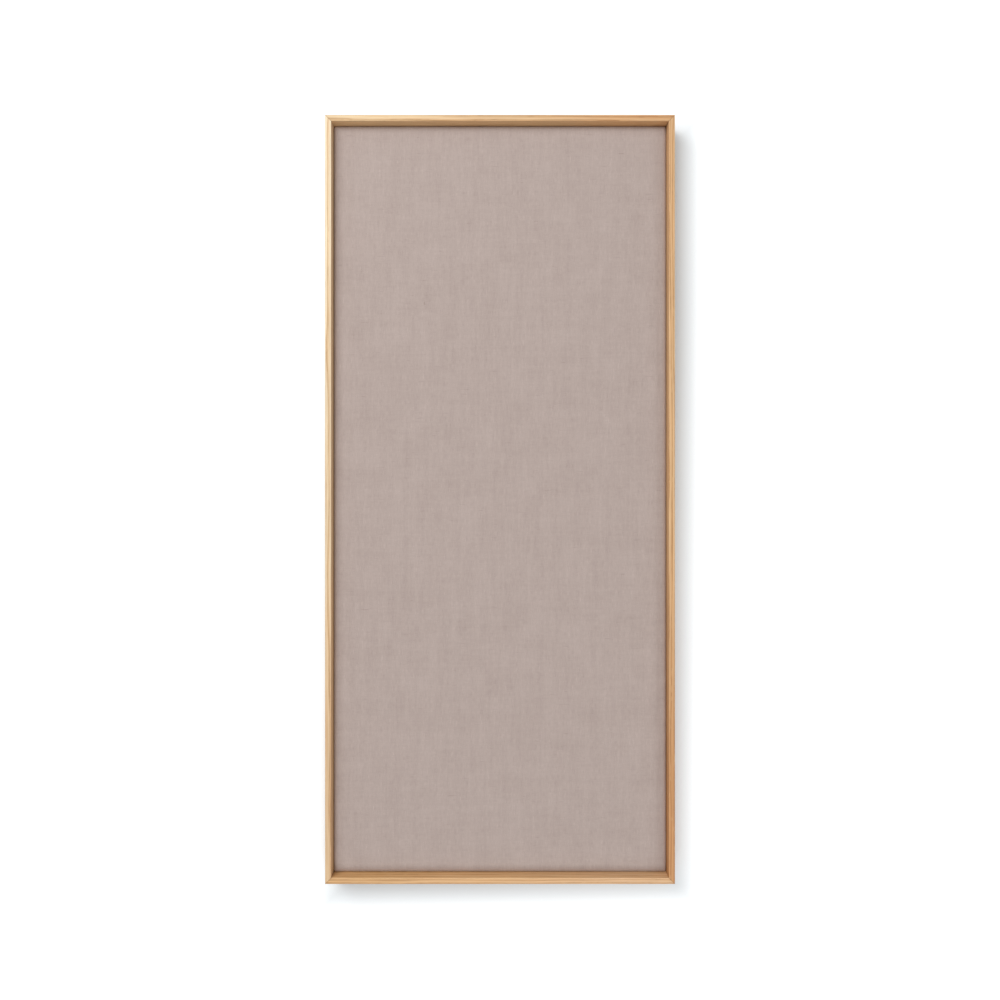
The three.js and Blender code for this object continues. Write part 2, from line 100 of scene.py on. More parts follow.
class Signal:
    """What a node gives. Arithmetic on it, and its methods, add the nodes that work on it further."""

    def __init__(self, socket: bpy.types.NodeSocket) -> None:
        """Keeps the node's output."""
        self.socket = socket

    def then(self, kind: str, inputs: "Inputs", output: str | int = 0, **settings: object) -> "Signal":
        """An output of a further node in the same tree, which add_node makes."""
        return Signal(add_node(self.socket.id_data, kind, inputs, **settings).outputs[output])

    def math(self, operation: str, *others: "Source") -> "Signal":
        """One step of arithmetic, by the name of the Math node's operation."""
        return self.then("Math", dict(enumerate((self, *others))), operation=operation)

    def __add__(self, other: "Source") -> "Signal":
        """The sum of the two."""
        return self.math("ADD", other)

    def __sub__(self, other: "Source") -> "Signal":
        """What is left of this value."""
        return self.math("SUBTRACT", other)

    def __rsub__(self, other: float) -> "Signal":
        """What this value leaves of a constant."""
        return self.then("Math", {0: other, 1: self}, operation="SUBTRACT")

    def __mul__(self, other: "Source") -> "Signal":
        """The product of the two."""
        return self.math("MULTIPLY", other)

    def __truediv__(self, other: float) -> "Signal":
        """This value as a share of a constant."""
        return self.math("DIVIDE", other)

    def __pow__(self, power: float) -> "Signal":
        """This value raised to a power."""
        return self.math("POWER", power)

    def __abs__(self) -> "Signal":
        """This value without its sign."""
        return self.math("ABSOLUTE")

    def scaled(self, factor: float, start: "Source") -> "Signal":
        """This value multiplied, and counted from a start."""
        return self.math("MULTIPLY_ADD", factor, start)

    def choose(self, first: "Signal", second: "Signal") -> "Signal":
        """The first value where this one is 1, and the second where it is 0."""
        return self.math("MULTIPLY_ADD", first - second, second)

    def span(self, low: float, high: float, start: float = 0.0, end: float = 1.0) -> "Signal":
        """A value that goes smoothly from start to end as this one goes from low to high."""
        inputs = {0: self, 1: low, 2: high, 3: start, 4: end}
        return self.then("MapRange", inputs, interpolation_type="SMOOTHSTEP")

    def vector(self, operation: str, *others: "Source") -> "Signal":
        """One step of arithmetic on vectors, by the name of the Vector Math node's operation."""
        return self.then("VectorMath", dict(enumerate((self, *others))), operation=operation)

    def split(self) -> list["Signal"]:
        """The x, y and z of this vector."""
        outputs = add_node(self.socket.id_data, "SeparateXYZ", {0: self}).outputs
        return [Signal(output) for output in outputs]

    def join(self, y: "Source", z: "Source") -> "Signal":
        """The vector of this x with a y and a z."""
        return self.then("CombineXYZ", {0: self, 1: y, 2: z})

    def drawn(self, x: float = 1.0, y: float = 1.0, z: float = 1.0) -> "Signal":
        """This place multiplied, so that a pattern on it is drawn out where a factor is small."""
        return self.vector("MULTIPLY", (x, y, z))

    def noise(self, scale: float, detail: float = 2.0, rough: float = 0.5) -> "Signal":
        """Soft blotches about 0.5 at this place, so many to a metre, with finer layers over them."""
        return self.then("TexNoise", {"Vector": self, "Scale": scale, "Detail": detail, "Roughness": rough})

    def grey(self) -> "Signal":
        """The grey of this value, to multiply a colour with."""
        return self.join(self, self)

    def ramp(self, *stops: tuple[float, Colour]) -> "Signal":
        """A colour from this value, which goes from 0 to 1.

        Args:
            *stops: The places of the colours and the colours, in order.

        Returns:
            The colour.
        """
        node = add_node(self.socket.id_data, "ValToRGB", {0: self})
        elements = node.color_ramp.elements
        while len(elements) < len(stops):
            elements.new(0.5)
        for element, (position, colour) in zip(elements, stops):
            element.position = position
            element.color = opaque(colour)
        return Signal(node.outputs[0])

    def mix(self, first: "Source", second: "Source") -> "Signal":
        """The second colour laid over the first, as strongly as this value says."""
        return mixed(self.socket.id_data, self, first, second, "MIX")

    def tinted(self, colour: "Signal") -> "Signal":
        """This colour multiplied by another."""
        return mixed(self.socket.id_data, 1.0, self, colour, "MULTIPLY")


Source = Signal | float | tuple[float, ...]
Inputs = dict[str | int, Source]


def add_node(
    tree: bpy.types.NodeTree, kind: str, inputs: Inputs | None = None, **settings: object
) -> bpy.types.Node:
    """Adds a node to a tree.

    Args:
        tree: The tree of a material or of the world.
        kind: The node's type name, without the ShaderNode that it starts with.
        inputs: What goes into its sockets, by name or number: another node's output or a constant.
        **settings: The node's own settings.

    Returns:
        The new node.
    """
    node = tree.nodes.new(f"ShaderNode{kind}")
    for key, value in settings.items():
        setattr(node, key, value)
    for key, value in (inputs or {}).items():
        if isinstance(value, Signal):
            tree.links.new(value.socket, node.inputs[key])
        else:
            node.inputs[key].default_value = value
    return node


def mixed(tree: bpy.types.NodeTree, share: Source, first: Source, second: Source, mode: str) -> Signal:
    """Two colours laid over each other in one of the Mix node's modes, by the second one's share."""
    inputs = {0: share, 6: opaque(first), 7: opaque(second)}
    return Signal(add_node(tree, "Mix", inputs, data_type="RGBA", blend_type=mode).outputs[2])


def opaque(colour: Source) -> Source:
    """A written colour with its fourth part, and a linked one as it is."""
    return (*colour, 1.0) if isinstance(colour, tuple) else colour


def total(*parts: tuple[float, Signal]) -> Signal:
    """A sum of values about 0.5, each counted from there and weighted.

    Args:
        *parts: Each weight with its value.

    Returns:
        The sum, counted from 0.
    """
    result: Source = 0.0
    for weight, value in parts:
        result = (value - 0.5).scaled(weight, result)
    return result


class Shader:
    """A material with its node tree."""

    def __init__(self, name: str) -> None:
        """Makes a material whose tree is still empty.

        Args:
            name: The material's name.
        """
        self.material = bpy.data.materials.new(name)
        self.material.use_nodes = True
        self.tree = self.material.node_tree
        self.tree.nodes.clear()

    def start(
        self, kind: str, inputs: Inputs | None = None, output: str | int = 0, **settings: object
    ) -> Signal:
        """An output of a new node, which add_node makes."""
        return Signal(add_node(self.tree, kind, inputs, **settings).outputs[output])

    def place(self) -> Signal:
        """The place on the piece, in the frame's own metres."""
        return self.start("TexCoord", output="Object")

    def finish(
        self, colour: Signal, rough: Source, height: Signal, relief: float, **constants: float
    ) -> Material:
        """Ends the tree in a Principled shader.

        Args:
            colour: The base colour.
            rough: The roughness.
            height: The relief's height, from 0 to 1.
            relief: How deep the relief is.
            **constants: What is the same all over, by socket name with underscores for spaces.

        Returns:
            The material.
        """
        inputs = {key.replace("_", " "): value for key, value in constants.items()}
        bump = self.start("Bump", {"Height": height, "Distance": relief, "Strength": 1.0})
        inputs |= {"Base Color": colour, "Roughness": rough, "Normal": bump}
        return self.end(self.start("BsdfPrincipled", inputs))

    def end(self, surface: Signal) -> Material:
        """Ends the tree in any surface, and gives the material."""
        add_node(self.tree, "OutputMaterial", {"Surface": surface})
        return self.material


@dataclass(frozen=True)
class Oak:
    """Natural oak under a matt lacquer: rings, open pores, pale rays, a glue line at each mitre and a painted
    highlight.
    """

    name: str
    half_size: tuple[float, float]
    middle: float
    grain: Grain
    heart: tuple[float, float]
    shift: float
    tone: float
    # The shares of the tint at the slat's two ends and middle: below 0 a painted highlight of the window that
    # pales the wood, above 0 a deeper tone.
    depth: tuple[float, float, float]
    deepening_and_highlight: Colour
    full_depth_at: float = 0.8
    front: float = -0.035
    face_ends: tuple[float, float] = (0.0003, 0.0012)
    highlight_share_on_walls: float = 0.52
    ring_width: float = 0.0026
    drift: float = 0.0042
    wobble: float = 0.0009
    early: Colour = (0.44, 0.215, 0.080)
    late: Colour = (0.600, 0.340, 0.155)
    pale: Colour = (0.70, 0.450, 0.235)
    pore: Colour = (0.24, 0.115, 0.045)
    glue_line: float = 0.0002
    relief: float = 0.00008

    def material(self) -> Material:
        """Mixes the finish.

        Returns:
            Its material.
        """
        shader = Shader(self.name)
        x, y, z = shader.place().split()
        along, across = (x, z) if self.grain is Grain.LEVEL else (z, x)
        place = (along + self.shift).join(y, across)

        ring = self._rings(place, y, across)
        fibre = place.drawn(0.018).noise(2400.0, 2.0, 0.6)
        streak = place.drawn(0.03).noise(520.0, 3.0, 0.6)
        broad = place.drawn(0.12).noise(34.0)
        shade = total((0.24, fibre), (0.46, streak), (0.30, broad)) + self.tone
        wood = ring.ramp((0.0, self.early), (0.22, self.late), (0.72, self.pale), (1.0, self.late))
        # A deeper tone along the slat, and a painted highlight of the window that pales it.
        wood = wood.tinted(shade.grey()).tinted(self._highlight_and_depth_tint((x, y, z), broad))

        ray = place.drawn(0.11).noise(620.0, 1.0)
        wood = ray.span(0.63, 0.70, 0.0, 0.35).mix(wood, self.pale)

        cell = place.drawn(0.035).noise(1500.0, 2.0, 0.65)
        pores = cell.span(0.60, 0.70) * ring.span(0.30, 0.46, 1.0, 0.18)
        wood = (pores * 0.55).mix(wood, self.pore)
        seam = self._mitre(x, z)
        wood = (seam * 0.5).mix(wood, self.pore)

        rough = fibre.scaled(0.16, 0.46)
        height = fibre * 0.25 - pores - seam
        lacquer = {"Specular_IOR_Level": 0.45, "Coat_Weight": 0.12, "Coat_Roughness": 0.48}
        return shader.finish(wood, rough, height, self.relief, **lacquer)

    def _highlight_and_depth_tint(self, place: Sequence[Signal], broad: Signal) -> Signal:
        """The deeper tone towards some of the slat's ends, and the painted highlight of the window that pales
        it towards others.

        The painted highlight lies fully on the front face and only in part on the walls.

        Args:
            place: The place's x, y and z.
            broad: The slat's broad unevenness.

        Returns:
            A colour to multiply the wood's with.
        """
        x, y, z = place
        level = self.grain is Grain.LEVEL
        along = x if level else z - self.middle
        reach = self.full_depth_at * self.half_size[0 if level else 1]
        start, centre, end = self.depth
        share = along.span(-reach, 0.0, start, centre) + along.span(0.0, reach, 0.0, end - centre)
        near, far = self.face_ends
        # The painted highlight lies fully on the front face and only in part on the walls.
        highlight_on_face = y.span(self.front + near, self.front + far, 1.0, self.highlight_share_on_walls)
        share = share.math("MAXIMUM", 0.0) + share.math("MINIMUM", 0.0) * highlight_on_face + total((0.9, broad))
        return share.grey().vector("MULTIPLY_ADD", self.deepening_and_highlight, (1.0, 1.0, 1.0))

    def _rings(self, place: Signal, depth: Signal, across: Signal) -> Signal:
        """How far into its year the wood is at a place, from 0 to 1.

        Args:
            place: The place with its first part along the grain.
            depth: The place's y.
            across: The place's part across the grain.

        Returns:
            The share of the year.
        """
        sway = place.drawn(0.07).noise(42.0, 2.0, 0.55)
        wobble = place.drawn(0.05).noise(420.0)
        radius = ((depth - self.heart[0]) ** 2.0 + (across - self.heart[1]) ** 2.0).math("SQRT")
        wandering = total((2.0 * self.drift, sway), (self.wobble, wobble))
        return ((radius + wandering) / self.ring_width).math("FRACT")

    def _mitre(self, x: Signal, z: Signal) -> Signal:
        """How close a place is to the glue line of a mitre.

        Args:
            x: The place's x.
            z: The place's z.

        Returns:
            1 on the line and 0 away from it.
        """
        side = self.half_size[0] - abs(x)
        end = self.half_size[1] - abs(z - self.middle)
        return abs(side - end).span(self.glue_line, 3.0 * self.glue_line, 1.0, 0.0)


@dataclass(frozen=True)
class Linen:
    """Fine natural linen in a plain weave: uneven yarns, faint streaks both ways and a few slubs."""

    name: str = "natural_linen"
    uv_map: str = "weave"
    pitch: float = 0.00056
    wander: float = 1.6 * pitch
    weft_apart: float = 7.3
    dark: Colour = (0.328, 0.254, 0.225)
    plain: Colour = (0.468, 0.381, 0.347)
    light: Colour = (0.614, 0.521, 0.483)
    knot: tuple[float, float] = (-0.0993, -0.0548)
    knot_size: tuple[float, float] = (0.0011, 0.0026)
    rough: float = 0.88
    relief: float = 0.0001

    def material(self) -> Material:
        """Mixes the finish.

        Returns:
            Its material.
        """
        shader = Shader(self.name)
        flat = shader.start("UVMap", uv_map=self.uv_map)
        across, up, _ = self._uneven(flat).split()
        warp_at, weft_at = across / self.pitch, up / self.pitch
        over = (warp_at.math("FLOOR") + weft_at.math("FLOOR")).math("FLOORED_MODULO", 2.0)

        warp_tone = self._yarn_tone(flat.drawn(y=0.085))
        weft = flat.vector("ADD", (self.weft_apart, self.weft_apart, 0.0))
        weft_tone = self._yarn_tone(weft.drawn(0.11))
        tone = over.choose(warp_tone, weft_tone.scaled(0.6, 0.2))
        slub = self._slubs(flat)
        shade = total((1.0, tone), (0.24, flat.noise(26.0, 3.0, 0.6))) + 0.5 + slub
        cloth = shade.ramp((0.0, self.dark), (0.5, self.plain), (1.0, self.light))

        warp, weft = self._crown(warp_at), self._crown(weft_at)
        height = over.choose(self._humped(warp, weft), self._humped(weft, warp))
        # Painted shade: the cloth is darker where the weave lies low, between the yarns.
        cloth = height.span(0.0, 0.45, 0.30, 0.0).mix(cloth, self.dark)
        cloth = (self._knot(flat) * 0.55).mix(cloth, self.dark)
        nap = {"Sheen_Weight": 0.12, "Sheen_Roughness": 0.5, "Specular_IOR_Level": 0.25}
        return shader.finish(cloth, self.rough, slub.scaled(0.8, height), self.relief, **nap)

    def _uneven(self, flat: Signal) -> Signal:
        """Bends the place, because the yarns don't run quite straight.

        Args:
            flat: The place in the cloth.

        Returns:
            The place as the yarns see it.
        """
        away = flat.then("TexNoise", {"Vector": flat, "Scale": 55.0, "Detail": 2.0}, "Color")
        bend = away.vector("SUBTRACT", (0.5, 0.5, 0.5)).drawn(self.wander, self.wander, 0.0)
        return flat.vector("ADD", bend)

    @staticmethod
    def _yarn_tone(drawn: Signal) -> Signal:
        """How light the yarns of one direction are.

        Args:
            drawn: The place in the cloth, drawn out along the yarns.

        Returns:
            The tone, about 0.5.
        """
        single = drawn.noise(1500.0, 1.0)
        group = drawn.noise(330.0, 3.0, 0.6)
        band = drawn.noise(85.0)
        return total((0.80, single), (0.60, group), (0.36, band)) + 0.5

    @staticmethod
    def _crown(yarn_at: Signal) -> Signal:
        """The round top of a yarn across its width, from 0 at its sides to 1 in its middle."""
        return (yarn_at.math("FRACT") * math.pi).math("SINE")

    @staticmethod
    def _humped(own: Signal, other: Signal) -> Signal:
        """The height of a yarn that lies over another: round across itself and humped along itself."""
        return own * other.scaled(0.55, 0.45)

    @staticmethod
    def _slubs(flat: Signal) -> Signal:
        """The thick places of the yarns, both ways, counted from 0."""
        bright = flat.drawn(y=0.11).noise(640.0, 1.0).span(0.70, 0.78, 0.0, 0.20)
        return bright + flat.drawn(0.09).noise(600.0, 1.0).span(0.70, 0.78, 0.0, -0.22)

    def _knot(self, flat: Signal) -> Signal:
        """The one dark knot in the cloth, at its upper left.

        Args:
            flat: The place in the cloth.

        Returns:
            1 in the knot and 0 away from it.
        """
        across, up, _ = flat.split()
        aside = (across - self.knot[0]) / self.knot_size[0]
        above = (up - self.knot[1]) / self.knot_size[1]
        return (aside**2.0 + above**2.0).span(0.2, 1.4, 1.0, 0.0)


@dataclass(frozen=True)
class Cork:
    """Pressed cork: pale and dark granules with dark lines between them."""

    name: str = "pressed_cork"
    granules: float = 520.0
    dark: Colour = (0.22, 0.11, 0.045)
    plain: Colour = (0.46, 0.27, 0.12)
    light: Colour = (0.60, 0.38, 0.19)
    rough: float = 0.85
    relief: float = 0.00012

    def material(self) -> Material:
        """Mixes the finish.

        Returns:
            Its material.
        """
        shader = Shader(self.name)
        place = shader.place()
        cells = {"Vector": place, "Scale": self.granules}
        tint = place.then("TexVoronoi", cells, "Color").split()[0]
        edge = place.then("TexVoronoi", cells, "Distance", feature="DISTANCE_TO_EDGE")
        line = edge.span(0.02, 0.10, 1.0, 0.0)
        grain = place.noise(2600.0)
        body = tint.ramp((0.0, self.dark), (0.35, self.plain), (1.0, self.light))
        body = grain.span(0.58, 0.68, 0.0, 0.5).mix(body, self.dark)
        body = (line * 0.7).mix(body, self.dark)
        return shader.finish(body, self.rough, grain - line, self.relief)


@dataclass(frozen=True)
class Fibreboard:
    """Thin brown fibreboard, its smooth side out: matted fibres, flecks, scuffs and a slight gloss."""

    name: str = "brown_fibreboard"
    dark: Colour = (0.125, 0.068, 0.032)
    plain: Colour = (0.235, 0.138, 0.070)
    light: Colour = (0.345, 0.215, 0.118)
    fleck: Colour = (0.50, 0.36, 0.22)
    fibre_angles: tuple[float, float, float] = (0.3, 1.35, 2.4)
    straw_angle: float = 0.9
    relief: float = 0.00006

    def material(self) -> Material:
        """Mixes the finish.

        Returns:
            Its material.
        """
        shader = Shader(self.name)
        place = shader.place()
        layers = [(0.55, self._fibres(place, angle)) for angle in self.fibre_angles]
        mat = total(*layers, (0.50, place.noise(16.0, 4.0, 0.6)), (0.40, place.noise(900.0, 3.0, 0.7))) + 0.5
        board = mat.ramp((0.15, self.dark), (0.5, self.plain), (0.85, self.light))
        straw = self._fibres(place, self.straw_angle)
        board = straw.span(0.71, 0.78, 0.0, 0.45).mix(board, self.fleck)
        bark = place.noise(760.0, 1.0)
        board = bark.span(0.70, 0.76, 0.0, 0.6).mix(board, self.dark)
        scuff = place.drawn(0.10).noise(150.0, 3.0, 0.7)
        rough = scuff.span(0.45, 0.75, 0.44, 0.62) + total((0.08, bark))
        return shader.finish(board, rough, mat, self.relief, Specular_IOR_Level=0.4)

    @staticmethod
    def _fibres(place: Signal, angle: float) -> Signal:
        """Fibres that lie at one angle in radians, as a value about 0.5."""
        inputs = {"Vector": place, "Rotation": (0.0, angle, 0.0), "Location": (angle, 0.0, 0.0)}
        return place.then("Mapping", inputs, vector_type="POINT").drawn(0.12).noise(1100.0, 2.0, 0.55)


@dataclass(frozen=True)
class ZincSteel:
    """Zinc-plated steel: bright, a little blue and yellow in places, with fine rubbing marks."""

    name: str = "zinc_plated_steel"
    cool: Colour = (0.44, 0.455, 0.475)
    warm: Colour = (0.52, 0.50, 0.45)
    dull: Colour = (0.26, 0.26, 0.26)
    relief: float = 0.000006

    def material(self) -> Material:
        """Mixes the finish.

        Returns:
            Its material.
        """
        shader = Shader(self.name)
        place = shader.place()
        cloud = place.noise(240.0, 3.0, 0.6)
        speck = place.noise(2600.0, 2.0, 0.6)
        rub = place.drawn(z=0.06).noise(5200.0, 2.0, 0.6)
        metal = cloud.span(0.40, 0.62).mix(self.cool, self.warm)
        metal = speck.span(0.60, 0.74, 0.0, 0.45).mix(metal, self.dull)
        rough = total((0.30, rub), (0.22, cloud), (0.20, speck)) + 0.34
        height = total((0.7, rub), (0.5, speck)) + 0.5
        return shader.finish(metal, rough, height, self.relief, Metallic=1.0)


@dataclass(frozen=True)
class PadRubber:
    """Soft black rubber: matt, with a fine moulded skin and dust on it."""

    name: str = "soft_black_rubber"
    black: Colour = (0.022, 0.022, 0.023)
    dusty: Colour = (0.085, 0.080, 0.074)
    relief: float = 0.00003

    def material(self) -> Material:
        """Mixes the finish.

        Returns:
            Its material.
        """
        shader = Shader(self.name)
        place = shader.place()
        skin = place.noise(3800.0, 2.0, 0.6)
        dust = place.noise(700.0, 3.0, 0.65)
        colour = dust.span(0.48, 0.72, 0.05, 0.75).mix(self.black, self.dusty)
        rough = total((0.3, dust), (0.2, skin)) + 0.68
        return shader.finish(colour, rough, skin, self.relief, Specular_IOR_Level=0.35)


@dataclass(frozen=True)
class StagePaint:
    """White for the wall: it keeps the shadows beside and below the board, shaped by a painted glow, and is
    clear from behind.
    """

    low: tuple[float, float]
    high: tuple[float, float]
    name: str = "wall_white"
    shade: Colour = (0.812, 0.848, 0.870)
    glow: float = 0.50
    fade: float = 0.060
    far_fade: float = 10.0
    slope: tuple[float, float] = (0.32, -0.19)
    slope_start: float = 0.092

    def material(self) -> Material:
        """Mixes the finish.

        Returns:
            Its material.
        """
        shader = Shader(self.name)
        x, _, z = shader.place().split()
        away = self.low[0] - x
        for side in (x - self.high[0], self.low[1] - z, z - self.high[1]):
            away = away.math("MAXIMUM", side)
        # Painted light: the glow is nothing beside the board and rises away from it, so the board's shadow
        # stays close to it and the wall beyond is white.
        near = away.span(0.0, self.fade, 0.0, self.glow)
        far = away.span(self.fade, self.far_fade * self.fade, 0.0, self.glow)
        # Painted light: a glow that grows towards the lower right and lightens the board's shadow there.
        slant_glow = z.scaled(self.slope[1], x.scaled(self.slope[0], -self.slope_start))
        white = near + far + slant_glow.math("MAXIMUM", 0.0)
        paint = shader.start("BsdfDiffuse", {"Color": opaque(self.shade)})
        glow = shader.start("Emission", {"Color": WHITE, "Strength": white})
        lit = shader.start("AddShader", {0: paint, 1: glow})
        back = shader.start("NewGeometry", output="Backfacing")
        clear = shader.start("BsdfTransparent")
        return shader.end(shader.start("MixShader", {0: back, 1: lit, 2: clear}))


class Workshop:
    """Turns shapes into finished pieces that ride on the board or on a ring."""

    def __init__(self) -> None:
        """Mixes the finishes that several pieces share."""
        self.finishes = {
            Slot.LINEN: Linen().material(),
            Slot.ZINC_STEEL: ZincSteel().material(),
            Slot.PAD_RUBBER: PadRubber().material(),
        }

    def piece(
        self, shape: Shape, name: str, slot: Slot, nodes: Sequence[str] = (), body: str = "board"
    ) -> Thing:
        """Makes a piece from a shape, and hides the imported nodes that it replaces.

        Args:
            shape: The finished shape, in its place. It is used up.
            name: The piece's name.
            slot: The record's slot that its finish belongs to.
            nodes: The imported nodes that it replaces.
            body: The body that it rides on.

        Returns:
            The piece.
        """
        thing = as_object(shape, name)
        thing.data.shade_smooth()
        thing.data.set_sharp_from_angle(angle=SHARP_ANGLE)
        thing.data.materials.append(self.finishes[slot])
        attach(thing, body)
        if nodes:
            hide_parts(*nodes)
        LOG.info("%s: %d faces", name, len(thing.data.polygons))
        return thing


def circle(shape: Shape, radius: float, sides: int, place: Matrix) -> list[Edge]:
    """Adds a ring of edges about its place's z, as the section of a wire or the rim of a hole."""
    corners = bmesh.ops.create_circle(shape, radius=radius, segments=sides, matrix=place)["verts"]
    return list({edge for corner in corners for edge in corner.link_edges})


def tidied(shape: Shape, weld: float = WELD) -> Shape:
    """A shape with its doubled corners merged and its faces turned outwards.

    Args:
        shape: The shape.
        weld: How close two corners are to be one.

    Returns:
        The same shape.
    """
    bmesh.ops.remove_doubles(shape, verts=shape.verts, dist=weld)
    bmesh.ops.recalc_face_normals(shape, faces=shape.faces)
    return shape


def turned(outline: Points, sides: int) -> Shape:
    """A solid turned about the y axis.

    Args:
        outline: The (radius, y) points of its half outline, from the axis back to the axis.
        sides: How many steps go round it.

    Returns:
        The solid.
    """
    shape = bmesh.new()
    corners = [shape.verts.new((radius, y, 0.0)) for radius, y in outline]
    edges = [shape.edges.new(pair) for pair in zip(corners, corners[1:])]
    bmesh.ops.spin(
        shape, geom=corners + edges, cent=(0, 0, 0), axis=Y_AXIS, angle=math.tau, steps=sides, use_merge=True
    )
    return tidied(shape)


def linked(name: str, data: bpy.types.ID) -> Thing:
    """A new object in the scene.

    Args:
        name: Its name.
        data: Its mesh, lamp or camera.

    Returns:
        The object.
    """
    thing = bpy.data.objects.new(name, data)
    bpy.context.scene.collection.objects.link(thing)
    return thing


def as_mesh(shape: Shape, name: str) -> bpy.types.Mesh:
    """A mesh from a shape.

    Args:
        shape: The shape. It is used up.
        name: The mesh's name.

    Returns:
        The mesh.
    """
    mesh = bpy.data.meshes.new(name)
    shape.to_mesh(mesh)
    shape.free()
    return mesh


def as_object(shape: Shape, name: str) -> Thing:
    """An object with no finish from a shape, which is used up."""
    return linked(name, as_mesh(shape, name))


def cut_by(shape: Shape, cutters: Sequence[Shape]) -> Shape:
    """A shape with others cut out of it. All of them are used up.

    Args:
        shape: The shape that is cut.
        cutters: What is cut out.

    Returns:
        The cut shape.
    """
    target = as_object(shape, "cut_target")
    knives = [as_object(cutter, "cut_knife") for cutter in cutters]
    for knife in knives:
        cut = target.modifiers.new("cut", "BOOLEAN")
        cut.object = knife
        cut.operation = "DIFFERENCE"
        cut.solver = "EXACT"
    evaluated = target.evaluated_get(bpy.context.evaluated_depsgraph_get())
    result = bmesh.new()
    result.from_mesh(evaluated.to_mesh())
    evaluated.to_mesh_clear()
    for thing in [target, *knives]:
        mesh = thing.data
        bpy.data.objects.remove(thing)
        bpy.data.meshes.remove(mesh)
    return result


def softened(shape: Shape, width: float, angle: float) -> Shape:
    """A shape with its sharp edges rounded.

    Args:
        shape: The shape.
        width: How far the rounding reaches from each edge.
        angle: The least angle of an edge that is rounded.

    Returns:
        The same shape.
    """
    inner = [edge for edge in shape.edges if len(edge.link_faces) == 2]
    sharp = [edge for edge in inner if edge.calc_face_angle(0.0) > angle]
    bmesh.ops.bevel(
        shape, geom=sharp, offset=width, offset_type="OFFSET", affect="EDGES", segments=2,
        profile=0.5, material=-1, clamp_overlap=True,
    )
    return shape


def moved(shape: Shape, place: Matrix) -> Shape:
    """The same shape at another place."""
    bmesh.ops.transform(shape, matrix=place, verts=shape.verts)
    return shape


def sliced(shape: Shape, point: Vector, normal: Vector, snap: float = 0.0) -> None:
    """Cuts the faces that a plane crosses, and keeps both sides; closer than snap counts as on the plane."""
    everything = [*shape.verts, *shape.edges, *shape.faces]
    bmesh.ops.bisect_plane(shape, geom=everything, plane_co=point, plane_no=normal, dist=snap)


def quarter_turn(steps: int) -> list[float]:
    """The angles of a quarter turn's steps in radians, with both its ends."""
    return [math.pi / 2 * step / steps for step in range(steps + 1)]


class Sweep:
    """A section drawn along runs and turns, in the way that wire is bent."""

    def __init__(self, shape: Shape, section: list[Edge]) -> None:
        """Starts at a section, which is part of the shape."""
        self.shape = shape
        self.end = section

    def run(self, step: Vector) -> None:
        """Draws the section straight on.

        Args:
            step: How far and which way.
        """
        made = bmesh.ops.extrude_edge_only(self.shape, edges=self.end)["geom"]
        corners = {item for item in made if isinstance(item, bmesh.types.BMVert)}
        bmesh.ops.translate(self.shape, verts=list(corners), vec=step)
        edges = [item for item in made if isinstance(item, Edge)]
        self.end = [edge for edge in edges if corners.issuperset(edge.verts)]

    def turn(self, centre: Vector, axis: Vector, angle: float, steps: int, rise: float = 0.0) -> None:
        """Draws the section round a centre.

        Args:
            centre: A point on the turn's axis.
            axis: The direction of the axis.
            angle: How far it turns, in radians.
            steps: How many steps the turn has.
            rise: How far it climbs along the axis over the whole turn.
        """
        corners = list({corner for edge in self.end for corner in edge.verts})
        last = bmesh.ops.spin(
            self.shape, geom=corners + self.end, cent=centre, axis=axis, angle=angle, steps=steps,
            dvec=axis * (rise / steps),
        )["geom_last"]
        self.end = [item for item in last if isinstance(item, Edge)]


def closed_ends(shape: Shape) -> Shape:
    """The same shape with a face over each open end, and its faces turned outwards."""
    bmesh.ops.holes_fill(shape, edges=[edge for edge in shape.edges if edge.is_boundary], sides=0)
    return tidied(shape)


